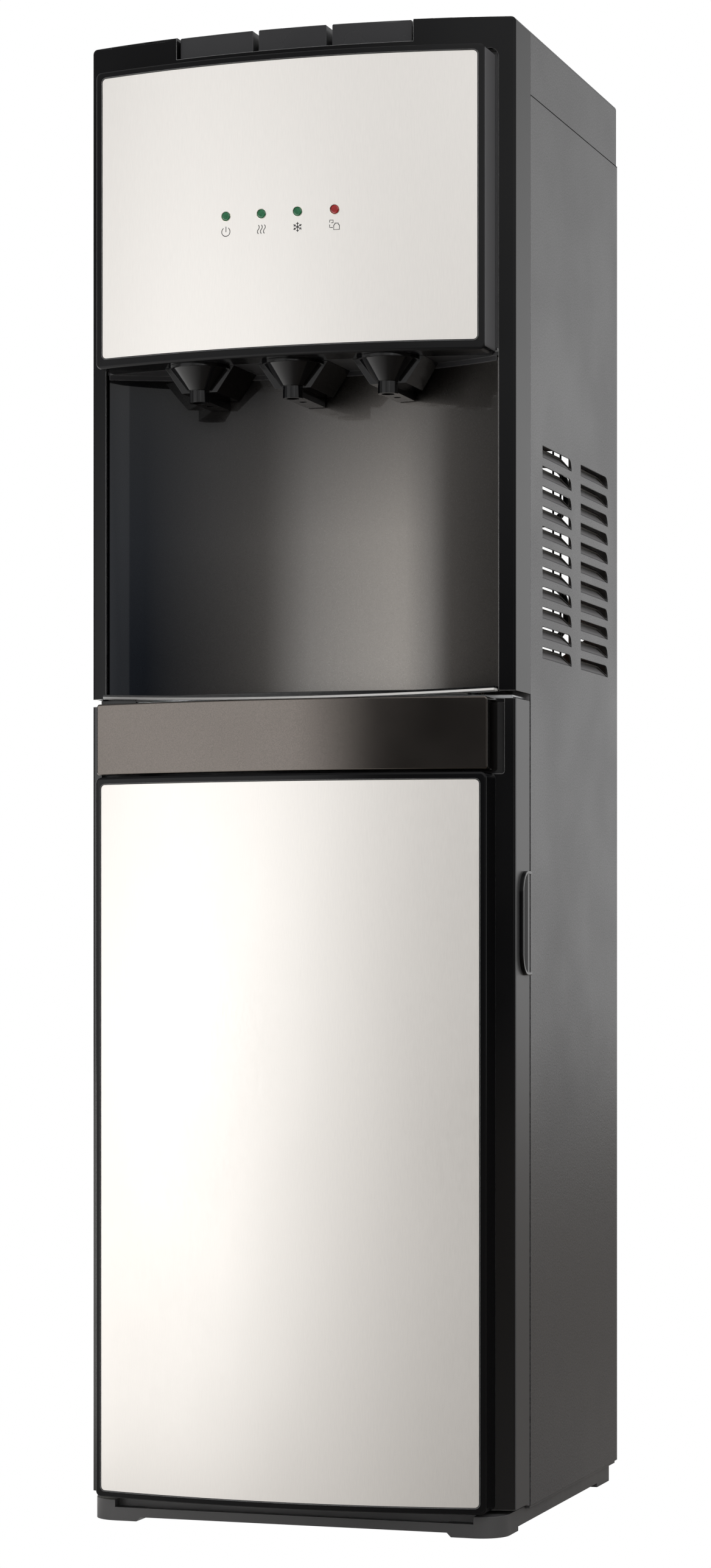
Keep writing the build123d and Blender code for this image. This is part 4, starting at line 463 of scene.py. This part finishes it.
foam, foam_shader, foam_tree = new_finish("beaded_foam", (0.84, 0.84, 0.82), 0.85)
beads = foam_tree.nodes.new("ShaderNodeTexVoronoi")
beads.feature = "DISTANCE_TO_EDGE"
beads.inputs["Scale"].default_value = 1.0
foam_tree.links.new(place_of(foam_tree, (260, 260, 260)), beads.inputs["Vector"])
seams = between(foam_tree, beads.outputs["Distance"], 0.0, 1.0, 0.0, 0.18)
foam_tree.links.new(shade_between(foam_tree, seams, (0.55, 0.55, 0.53), (0.86, 0.86, 0.84)),
                    foam_shader.inputs["Base Color"])
foam_tree.links.new(relief(foam_tree, seams, 0.0004, 0.7), foam_shader.inputs["Normal"])
dress(foam, "cold_insulation")

# ------------------------------------------------------------------ pump, probe, tee, rods and drain
# White moulded nylon and polypropylene, slightly translucent, with a satin face. The probe stands in
# the bottle; on its hook it waits beside it.
white_plastic, white_shader, white_tree = new_finish("white_nylon", (0.78, 0.78, 0.75), 0.4)
white_shader.inputs["Subsurface Weight"].default_value = 0.15
white_shader.inputs["Subsurface Radius"].default_value = (0.004, 0.004, 0.003)
white_normal = rounded_edge(white_tree, 0.0004)[0]
yellowed = between(white_tree, mottle(white_tree, (22, 22, 22), 3.0), 0.0, 1.0)
white_tree.links.new(shade_between(white_tree, yellowed, (0.8, 0.8, 0.78), (0.74, 0.73, 0.68)),
                     white_shader.inputs["Base Color"])
white_tree.links.new(between(white_tree, mottle(white_tree, (40, 40, 40), 3.0), 0.32, 0.5),
                     white_shader.inputs["Roughness"])
white_tree.links.new(relief(white_tree, mottle(white_tree, (900, 900, 900), 2.0), 0.00003, 0.4, white_normal),
                     white_shader.inputs["Normal"])
dress(white_plastic, "pump", "probe", "probe_hook", "supply_tee", "left_push_rod", "middle_push_rod",
      "right_push_rod", "rod_guide", "drain_spigot", "drain_cap")

# ------------------------------------------------------------------ hoses
# Food-grade silicone hose, milky and soft, pushed over the barbs of the pump, the tee, the tanks and the
# probe. The milkiness comes from light that goes a little way into the wall.
silicone, silicone_shader, silicone_tree = new_finish("silicone_hose", (0.78, 0.8, 0.8), 0.35)
silicone_shader.inputs["Transmission Weight"].default_value = 0.25
silicone_shader.inputs["Subsurface Weight"].default_value = 0.3
silicone_shader.inputs["Subsurface Radius"].default_value = (0.003, 0.003, 0.003)
cloud = mottle(silicone_tree, (60, 60, 60), 3.0)
silicone_tree.links.new(shade_between(silicone_tree, between(silicone_tree, cloud, 0.0, 1.0),
                                      (0.74, 0.77, 0.78), (0.82, 0.83, 0.82)),
                        silicone_shader.inputs["Base Color"])
silicone_tree.links.new(between(silicone_tree, cloud, 0.28, 0.45), silicone_shader.inputs["Roughness"])
silicone_tree.links.new(relief(silicone_tree, mottle(silicone_tree, (500, 500, 500), 1.0), 0.00003, 0.3),
                        silicone_shader.inputs["Normal"])
dress(silicone, "water_hoses", "suction_hose")

# ------------------------------------------------------------------ front housing
# The upper shell is moulded in gloss black. Its polished mould leaves a mirror face with a very long,
# low wave in it. The roundings at its corners are painted pale grey, as a painted highlight.


def polished_plastic(name, colour, roughness, wave=0.00002, shine=0.12):
    """Gloss black moulding: nearly a mirror, with a slow wave, faint hairlines and painted highlights on its
    edges.
    """
    made, shader, tree = new_finish(name, colour, roughness[0], shine=shine)
    normal, near_edge = rounded_edge(tree, 0.0006)
    tree.links.new(between(tree, mottle(tree, (7, 7, 7), 4.0), *roughness), shader.inputs["Roughness"])
    slow = relief(tree, mottle(tree, (28, 28, 28), 1.0), wave, 0.5, normal)
    hair = mottle(tree, (900, 900, 40), 1.0)
    tree.links.new(relief(tree, hair, 0.000004, 0.3, slow), shader.inputs["Normal"])
    # Painted highlight: every rounded edge is painted pale grey, 0.4 above the body colour.
    tree.links.new(shade_between(tree, near_edge, colour, tuple(c + 0.4 for c in colour)),
                   shader.inputs["Base Color"])
    return made


gloss_black = polished_plastic("gloss_black", (0.004, 0.004, 0.0045), (0.1, 0.16))
dress(gloss_black, "front_housing")

# ------------------------------------------------------------------ keys and top cover
# Three push keys, moulded black with a fine matte etch that fingers have polished a little along the
# front edges. The cover behind them is moulded with a grain that goes with the painted sides.
key_plastic = moulded_plastic("key_plastic", (0.028, 0.028, 0.03), (0.14, 0.14, 0.142), (0.24, 0.36), 1500,
                              0.00002, 0.0006)
dress(key_plastic, "left_key", "middle_key", "right_key")
dress(cabinet_paint, "top_cover")

# ------------------------------------------------------------------ upper bezel and its steel panel
# A deep gloss frame with satin side walls, whose grey is a painted sheen, round a thin stainless facing.
# The facing is brushed upright in short strokes, then bowed over the frame; its fine grain spreads the light
# sideways.


def satin_side_walls(finish, start, tone, roughness):
    """Etch a polished moulding to a satin tone where it lies further out than start."""
    tree = finish.node_tree
    shader = tree.nodes["Principled BSDF"]
    side_wall = between(tree, reckon(tree, "ABSOLUTE", along(tree, "X")), 0.0, 1.0, start, start + 0.0003)
    for socket, satin in (("Base Color", tone), ("Roughness", (roughness, roughness, roughness))):
        polished = shader.inputs[socket].links[0].from_socket
        tree.links.new(shade_between(tree, side_wall, polished, satin), shader.inputs[socket])


bezel_gloss = polished_plastic("bezel_gloss", (0.006, 0.006, 0.0065), (0.1, 0.16))
# Painted sheen: the bezel's side walls are painted mid grey, for black plastic catching glancing light.
satin_side_walls(bezel_gloss, 0.1413, (0.13, 0.13, 0.135), 0.42)
dress(bezel_gloss, "upper_bezel")


def brushed_stainless(name, colour, roughness):
    """Short upright brush strokes over faint, slow clouds in the sheen."""
    made, shader, tree = new_finish(name, colour, roughness[0], 1.0)
    strokes = mottle(tree, (2600, 2600, 140), 2.0)
    fine = mottle(tree, (5200, 5200, 500), 1.0, (3, 1, 2))
    clouds = mottle(tree, (5, 5, 3), 3.0)
    tree.links.new(shade_between(tree, between(tree, strokes, 0.0, 1.0, 0.3, 0.7),
                                 tuple(0.955 * c for c in colour), colour), shader.inputs["Base Color"])
    sheen = reckon(tree, "ADD", between(tree, strokes, -0.03, 0.03), between(tree, clouds, *roughness))
    tree.links.new(sheen, shader.inputs["Roughness"])
    cut = relief(tree, strokes, 0.000012, 0.25)
    tree.links.new(relief(tree, fine, 0.000006, 0.25, cut), shader.inputs["Normal"])
    return made


stainless = brushed_stainless("brushed_stainless", (0.79, 0.765, 0.735), (0.44, 0.5))
dress(stainless, "upper_panel")

# ------------------------------------------------------------------ indicator lamps
# Four small lenses, moulded in tinted clear plastic, three green and one red, each over its own diode
# on the board behind. Only a weak glow comes through.


def lens(name, tint, glow):
    """Tinted lens with faint flow lines in its plastic and a weak light inside."""
    made, shader, tree = new_finish(name, tint, 0.08, coat=0.5)
    shader.inputs["Coat Roughness"].default_value = 0.03
    shader.inputs["Emission Color"].default_value = (*tint, 1)
    shader.inputs["Emission Strength"].default_value = glow
    streak = mottle(tree, (700, 700, 700), 2.0)
    tree.links.new(shade_between(tree, between(tree, streak, 0.0, 1.0), tuple(0.6 * c for c in tint), tint),
                   shader.inputs["Base Color"])
    tree.links.new(between(tree, streak, 0.06, 0.14), shader.inputs["Roughness"])
    return made


dress(lens("green_lens", (0.006, 0.11, 0.04), 0.22), "green_lamps")
dress(lens("red_lens", (0.26, 0.004, 0.004), 0.22), "red_lamp")
lamp_x = (-0.0394, -0.0131, 0.0131, 0.0394)
lamp_level = 0.9055
panel_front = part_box("upper_panel")[0].y
bow_radius = 0.6


def bow_fall(x):
    """How far the bowed facing lies back at this distance from its middle."""
    return bow_radius - math.sqrt(bow_radius ** 2 - x ** 2)


for number, x in enumerate(lamp_x):
    face = panel_front + bow_fall(x)
    rim = start_piece(bpy.ops.mesh.primitive_torus_add, major_radius=0.00335, minor_radius=0.00022,
                      major_segments=40, minor_segments=8, location=(x, face, lamp_level),
                      rotation=(math.radians(90), 0, math.asin(x / bow_radius)))
    rim = close_piece(rim, f"lamp_rim_{number + 1}")
    rim.data.materials.append(plating)
    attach(rim, "cabinet")

# ------------------------------------------------------------------ pictograms
# Four pictograms printed in dark ink under the lamps: power, heat, cold and an empty bottle. Each line
# of ink is a thin raised film that follows the bow of the steel.
ink = moulded_plastic("printed_ink", (0.02, 0.02, 0.022), (0.03, 0.03, 0.03), (0.35, 0.5), 2500,
                      0.000004, 0.00005)
ink_film = 0.00006
ink_half = 0.00027
sign_level = lamp_level - 0.0107


def arc(radius, start, end, steps=24):
    """Points round a part of a circle, angles in degrees from the right."""
    angles = [math.radians(start + (end - start) * step / steps) for step in range(steps + 1)]
    return [(radius * math.cos(angle), radius * math.sin(angle)) for angle in angles]


def heat_wave(x, steps=16):
    """One rising S-shaped line, 6 mm tall."""
    return [(x + 0.0007 * math.sin(2 * math.pi * step / steps), 0.003 - 0.006 * step / steps)
            for step in range(steps + 1)]


power_sign = [arc(0.0031, 125, 415), [(0, 0.0036), (0, -0.0002)]]
heat_sign = [heat_wave(x) for x in (-0.0022, 0, 0.0022)]
cold_sign = []
for spoke in range(6):
    turn = math.radians(90 + 60 * spoke)
    outward = (math.cos(turn), math.sin(turn))
    cold_sign.append([(0, 0), (0.0034 * outward[0], 0.0034 * outward[1])])
    for side in (-1, 1):
        lean = turn + side * math.radians(50)
        root = (0.0019 * outward[0], 0.0019 * outward[1])
        cold_sign.append([root, (root[0] + 0.0011 * math.cos(lean), root[1] + 0.0011 * math.sin(lean))])
bottle_sign = [
    [(0.0002, 0.0012), (0.0002, 0.0004), (-0.0006, -0.0002), (-0.0006, -0.0032), (0.0034, -0.0032),
     (0.0034, -0.0002), (0.0026, 0.0004), (0.0026, 0.0012), (0.0002, 0.0012)],
    [(-0.0012, -0.0016), (-0.0034, -0.0016), (-0.0034, 0.0004)],
    [(-0.0034, 0.0018), (-0.0034, 0.0034), (-0.001, 0.0034), (-0.001, 0.0016), (-0.0022, 0.0016)],
]


def on_the_bow(place):
    """The same place pressed flat onto the bowed steel."""
    return (place.x, panel_front + bow_fall(place.x) + place.y * ink_film / ink_half, place.z)


for name, lines, x in zip(("power_sign", "heat_sign", "cold_sign", "bottle_sign"),
                          (power_sign, heat_sign, cold_sign, bottle_sign), lamp_x):
    placed = [[(x + across, 0, sign_level + up) for across, up in line] for line in lines]
    rolled_line(name, placed, ink_half, ink, on_the_bow)

# ------------------------------------------------------------------ bay liner
# The hollow wall of the bay is moulded plastic, sprayed with a smoked metallic black under a clear
# lacquer. Its colour carries painted light: dark at the left, a painted highlight towards the right, and
# painted shade up under the taps and beyond the highlight at the right end.
bay_lacquer, bay_shader, bay_tree = new_finish("smoked_lacquer", (0.15, 0.145, 0.14), 0.3, 1.0, 0.45)
bay_shader.inputs["Coat Roughness"].default_value = 0.03
flakes = bay_tree.nodes.new("ShaderNodeTexVoronoi")
flakes.inputs["Scale"].default_value = 1.0
bay_tree.links.new(place_of(bay_tree, (2600, 2600, 2600)), flakes.inputs["Vector"])
flake_split = bay_tree.nodes.new("ShaderNodeSeparateColor")
bay_tree.links.new(flakes.outputs["Color"], flake_split.inputs["Color"])
flake = shade_between(bay_tree, flake_split.outputs["Red"], (0.86, 0.86, 0.86), (1, 1, 1))
across = along(bay_tree, "X")
# Painted light: dark at the left, rising to a painted highlight towards the right.
painted_highlight_across = shade_between(bay_tree, between(bay_tree, across, 0.0, 1.0, -0.12, 0.06), (0.011, 0.013, 0.017),
                        (0.165, 0.153, 0.14))
# Painted shade: darker up under the taps and beyond the highlight at the right.
painted_light_below_taps = between(bay_tree, along(bay_tree, "Z"), 1.0, 0.0, 0.69, 0.79)
painted_highlight_end = between(bay_tree, across, 1.0, 0.0, 0.068, 0.1)
painted_shade_top_right = shade_between(bay_tree, reckon(bay_tree, "MULTIPLY", painted_light_below_taps, painted_highlight_end), (0.42, 0.42, 0.43),
                        (1, 1, 1))
# The smoked tone holds the painted light and shade above.
smoked = shade_between(bay_tree, 1.0, painted_highlight_across, painted_shade_top_right, "MULTIPLY")
bay_tree.links.new(shade_between(bay_tree, 1.0, smoked, flake, "MULTIPLY"), bay_shader.inputs["Base Color"])
bay_tree.links.new(between(bay_tree, flake_split.outputs["Green"], 0.27, 0.36, 0.0, 1.0),
                   bay_shader.inputs["Roughness"])
bay_tree.links.new(relief(bay_tree, mottle(bay_tree, (20, 20, 20), 1.0), 0.00003, 0.3),
                   bay_shader.inputs["Coat Normal"])
dress(bay_lacquer, "bay_liner")

# ------------------------------------------------------------------ taps
# Three moulded taps hang from the bay's ceiling plate, in smooth satin black with a slight gloss on the
# cones, where hands and cups have polished them.
tap_plastic = moulded_plastic("tap_plastic", (0.004, 0.004, 0.0045), (0.015, 0.015, 0.015), (0.08, 0.13), 800,
                              0.000006, 0.0003, 0.28)
dress(tap_plastic, "left_tap", "middle_tap", "right_tap")
dress(key_plastic, "tap_plate")

# ------------------------------------------------------------------ drip tray
# Gloss black moulded tray with a thin bowed lip across the front, and a lift-out grille over it. Along the
# lip's lower half a silver grey band is a painted highlight, for the light on its rounded edge; it is weaker
# to the left.
tray_black = (0.006, 0.006, 0.0065)
tray_gloss, tray_shader, tray_tree = new_finish("tray_gloss", tray_black, 0.12, shine=0.25)
lip_half = 0.1432
lip_middle_level = 0.5736
lip_end_rise = 0.004
# Painted highlight: a silver grey band along the lip's lower bead, weaker to the left.
highlight_height = 0.0014
tray_x = along(tray_tree, "X")
share_out = reckon(tray_tree, "POWER", reckon(tray_tree, "DIVIDE", tray_x, lip_half), 2.0)
lip_level = reckon(tray_tree, "ADD", reckon(tray_tree, "MULTIPLY", share_out, lip_end_rise), lip_middle_level)
up_the_lip = reckon(tray_tree, "SUBTRACT", along(tray_tree, "Z"), lip_level)
highlight_band = between(tray_tree, up_the_lip, 1.0, 0.0, highlight_height, highlight_height + 0.0003)
highlight_front = between(tray_tree, along(tray_tree, "Y"), 1.0, 0.0, -0.122, -0.118)
highlight_fade = between(tray_tree, tray_x, 0.3, 1.0, -0.12, 0.08)
painted_highlight = reckon(tray_tree, "MULTIPLY", reckon(tray_tree, "MULTIPLY", highlight_band, highlight_front), highlight_fade)
tray_tree.links.new(shade_between(tray_tree, painted_highlight, tray_black, (0.82, 0.81, 0.79)),
                    tray_shader.inputs["Base Color"])
tray_grain = mottle(tray_tree, (400, 400, 400), 3.0)
tray_tree.links.new(between(tray_tree, tray_grain, 0.1, 0.22), tray_shader.inputs["Roughness"])
tray_tree.links.new(relief(tray_tree, tray_grain, 0.000004, 0.3, rounded_edge(tray_tree, 0.0004)[0]),
                    tray_shader.inputs["Normal"])
dress(tray_gloss, "drip_tray")
dress(tray_plastic, "drip_grille")

# ------------------------------------------------------------------ door shell and handle
# The door is a gloss black moulding with etched satin side walls, to go with the painted cabinet.
# The handle is a separate insert, clipped into the shell's edge.
door_gloss = polished_plastic("door_gloss", (0.004, 0.004, 0.0045), (0.1, 0.16), shine=0.4)
satin_side_walls(door_gloss, 0.1549, (0.05, 0.05, 0.052), 0.34)
dress(door_gloss, "door_shell")
dress(tap_plastic, "door_handle")

# ------------------------------------------------------------------ door bezel, steel panel and band
# A gloss frame carries the brushed facing, as above the bay. The band over it is a smoked metallic
# strip, satin polished, that mirrors the light as a warm grey.
dress(gloss_black, "door_bezel")
dress(stainless, "door_panel")
band_metal, band_shader, band_tree = new_finish("smoked_band", (0.1, 0.088, 0.08), 0.1, 1.0)
band_grain = mottle(band_tree, (1500, 1500, 1500), 2.0)
band_tree.links.new(shade_between(band_tree, between(band_tree, band_grain, 0.0, 1.0), (0.082, 0.074, 0.067),
                                  (0.1, 0.088, 0.08)), band_shader.inputs["Base Color"])
band_tree.links.new(between(band_tree, mottle(band_tree, (8, 8, 8), 3.0), 0.1, 0.17),
                    band_shader.inputs["Roughness"])
band_tree.links.new(relief(band_tree, band_grain, 0.000003, 0.2, rounded_edge(band_tree, 0.0006)[0]),
                    band_shader.inputs["Normal"])
dress(band_metal, "door_band")

# ------------------------------------------------------------------ door liner, magnet and hinges
# Inside the door a thin black sheet stiffens the shell. The catch is a magnet in a rubber sleeve, and
# the upper hinge block is painted cast zinc.
dress(tray_plastic, "door_liner")
dress(foot_rubber, "door_magnet")
dress(enamel, "upper_hinge")

# ------------------------------------------------------------------ circuit boards
# Glass-fibre boards under green solder mask, with the copper tracks standing just proud under it. The
# cases on the control board are dipped in the same varnish.
mask, mask_shader, mask_tree = new_finish("solder_mask", (0.02, 0.13, 0.06), 0.3)
tracks = mask_tree.nodes.new("ShaderNodeTexBrick")
tracks.inputs["Scale"].default_value = 1.0
tracks.inputs["Mortar Size"].default_value = 0.1
tracks.inputs["Color1"].default_value = (0, 0, 0, 1)
tracks.inputs["Color2"].default_value = (0, 0, 0, 1)
tracks.inputs["Mortar"].default_value = (1, 1, 1, 1)
track_place = mask_tree.nodes.new("ShaderNodeCombineXYZ")
mask_tree.links.new(along(mask_tree, "Y", 160), track_place.inputs["X"])
mask_tree.links.new(along(mask_tree, "Z", 160), track_place.inputs["Y"])
mask_tree.links.new(track_place.outputs[0], tracks.inputs["Vector"])
mask_tree.links.new(shade_between(mask_tree, tracks.outputs["Fac"], (0.015, 0.1, 0.045), (0.04, 0.2, 0.09)),
                    mask_shader.inputs["Base Color"])
mask_tree.links.new(between(mask_tree, mottle(mask_tree, (90, 90, 90), 2.0), 0.24, 0.4),
                    mask_shader.inputs["Roughness"])
mask_tree.links.new(relief(mask_tree, tracks.outputs["Fac"], 0.00003, 0.6), mask_shader.inputs["Normal"])
dress(mask, "indicator_board", "control_board")

# ------------------------------------------------------------------ rear switches and cable gland
# Two rocker switches in black frames, the heating one red and the cooling one green, and the black
# gland that the mains lead goes through.
dress(base_plastic, "switch_frames", "cable_gland")
red_rocker = moulded_plastic("red_rocker", (0.42, 0.015, 0.012), (0.5, 0.08, 0.07), (0.16, 0.28), 900,
                             0.00001)
green_rocker = moulded_plastic("green_rocker", (0.015, 0.2, 0.06), (0.08, 0.3, 0.12), (0.16, 0.28), 900,
                               0.00001)
dress(red_rocker, "heating_switch")
dress(green_rocker, "cooling_switch")

# ------------------------------------------------------------------ studio
# White studio, seen from the front right at a low stand. A window wall at the left front lights the steel
# facings, the upper front is open sky, the back wall is white, and one softbox stands at the right front.
scene = bpy.context.scene
scene.view_settings.view_transform = "Standard"

camera_data = bpy.data.cameras.new("studio_camera")
camera_data.sensor_fit = "AUTO"
camera_data.sensor_width = 36.0
camera_data.lens = 84.6
camera_data.shift_x = -0.0078
camera_data.shift_y = 0.110
camera_data.clip_end = 30.0
camera = bpy.data.objects.new("studio_camera", camera_data)
camera.location = (0.8327, -2.5474, 0.396)
camera.rotation_euler = (math.radians(90), 0, math.radians(17.889))
scene.collection.objects.link(camera)
scene.camera = camera

softbox = bpy.data.lights.new("softbox_right", "AREA")
softbox.shape = "RECTANGLE"
softbox.size = 0.5
softbox.size_y = 1.5
softbox.energy = 1.4
softbox_stand = bpy.data.objects.new("softbox_right", softbox)
softbox_stand.location = (1.5, -2.5, 1.15)
softbox_aim = Vector((0, 0, 0.7)) - softbox_stand.location
softbox_stand.rotation_euler = softbox_aim.to_track_quat("-Z", "Y").to_euler()
scene.collection.objects.link(softbox_stand)

world = bpy.data.worlds.new("white_room")
scene.world = world
world.use_nodes = True
room = world.node_tree
room.nodes.clear()
room_way = room.nodes.new("ShaderNodeTexCoord")
room_split = room.nodes.new("ShaderNodeSeparateXYZ")
room.links.new(room_way.outputs["Generated"], room_split.inputs[0])
backward = room_split.outputs["Y"]
upward = room_split.outputs["Z"]
forward = reckon(room, "MULTIPLY", backward, -1.0)
bearing = reckon(room, "ARCTAN2", room_split.outputs["X"], forward)     # from the front, to the right

window_right = between(room, bearing, 2.55, 0.0, math.radians(-17), math.radians(-5))
window_left = between(room, bearing, 0.0, 1.0, math.radians(-57), math.radians(-50))
above = between(room, upward, 0.0, 1.0, 0.08, 0.19)
window = reckon(room, "MULTIPLY", reckon(room, "MULTIPLY", window_right, window_left),
                reckon(room, "SUBTRACT", 1.0, above))
sky = reckon(room, "MULTIPLY", above, between(room, bearing, 0.46, 1.5, math.radians(-15), math.radians(8)))
front_light = reckon(room, "MULTIPLY", reckon(room, "ADD", window, sky),
                     between(room, forward, 0.0, 1.0, -0.3, 0.1))
back_band = reckon(room, "MULTIPLY", between(room, upward, 0.78, 1.0, -0.12, 0.1),
                   between(room, upward, 1.0, 0.45, 0.14, 0.3))
back_light = reckon(room, "MULTIPLY", between(room, backward, 0.0, 1.0, 0.0, 0.6), back_band)
room_level = reckon(room, "ADD", reckon(room, "ADD", front_light, back_light), 0.035)

room_light = room.nodes.new("ShaderNodeBackground")
room_light.inputs["Color"].default_value = (1, 1, 1, 1)
room.links.new(room_level, room_light.inputs["Strength"])
room_white = room.nodes.new("ShaderNodeBackground")
room_white.inputs["Color"].default_value = (1, 1, 1, 1)
room_white.inputs["Strength"].default_value = 1.0
room_rays = room.nodes.new("ShaderNodeLightPath")
room_mix = room.nodes.new("ShaderNodeMixShader")
room_out = room.nodes.new("ShaderNodeOutputWorld")
room.links.new(room_rays.outputs["Is Camera Ray"], room_mix.inputs[0])
room.links.new(room_light.outputs[0], room_mix.inputs[1])
room.links.new(room_white.outputs[0], room_mix.inputs[2])
room.links.new(room_mix.outputs[0], room_out.inputs[0])

# ------------------------------------------------------------------ floor
# Seamless white paper under the cooler. Its glow at the left and its warm darker grey to the right are
# painted light and painted shade, for the window side. The camera sees it as pure white.
bpy.ops.object.select_all(action="DESELECT")
bpy.ops.mesh.primitive_plane_add(size=16, location=(0, 0, 0))
floor = bpy.context.object
floor.name = "studio_floor"
paper, paper_shader, paper_tree = new_finish("studio_paper", (0.9, 0.89, 0.88), 0.9)
paper_x = along(paper_tree, "X")
# Painted shade: the paper darkens to a warm grey towards the right.
painted_floor_shade = between(paper_tree, paper_x, 0.0, 1.0, -1.2, 0.5)
paper_tree.links.new(shade_between(paper_tree, painted_floor_shade, (0.9, 0.89, 0.88), (0.2, 0.175, 0.145)),
                     paper_shader.inputs["Base Color"])
paper_shader.inputs["Emission Color"].default_value = (1, 0.99, 0.97, 1)
# Painted light: emission makes the paper glow at the left.
paper_tree.links.new(between(paper_tree, paper_x, 1.45, 0.0, -0.75, 0.16),
                     paper_shader.inputs["Emission Strength"])
paper_white = paper_tree.nodes.new("ShaderNodeEmission")
paper_white.inputs["Strength"].default_value = 1.0
paper_rays = paper_tree.nodes.new("ShaderNodeLightPath")
paper_mix = paper_tree.nodes.new("ShaderNodeMixShader")
paper_tree.links.new(paper_rays.outputs["Is Camera Ray"], paper_mix.inputs[0])
paper_tree.links.new(paper_shader.outputs[0], paper_mix.inputs[1])
paper_tree.links.new(paper_white.outputs[0], paper_mix.inputs[2])
paper_tree.links.new(paper_mix.outputs[0], paper_tree.nodes["Material Output"].inputs[0])
floor.data.materials.append(paper)
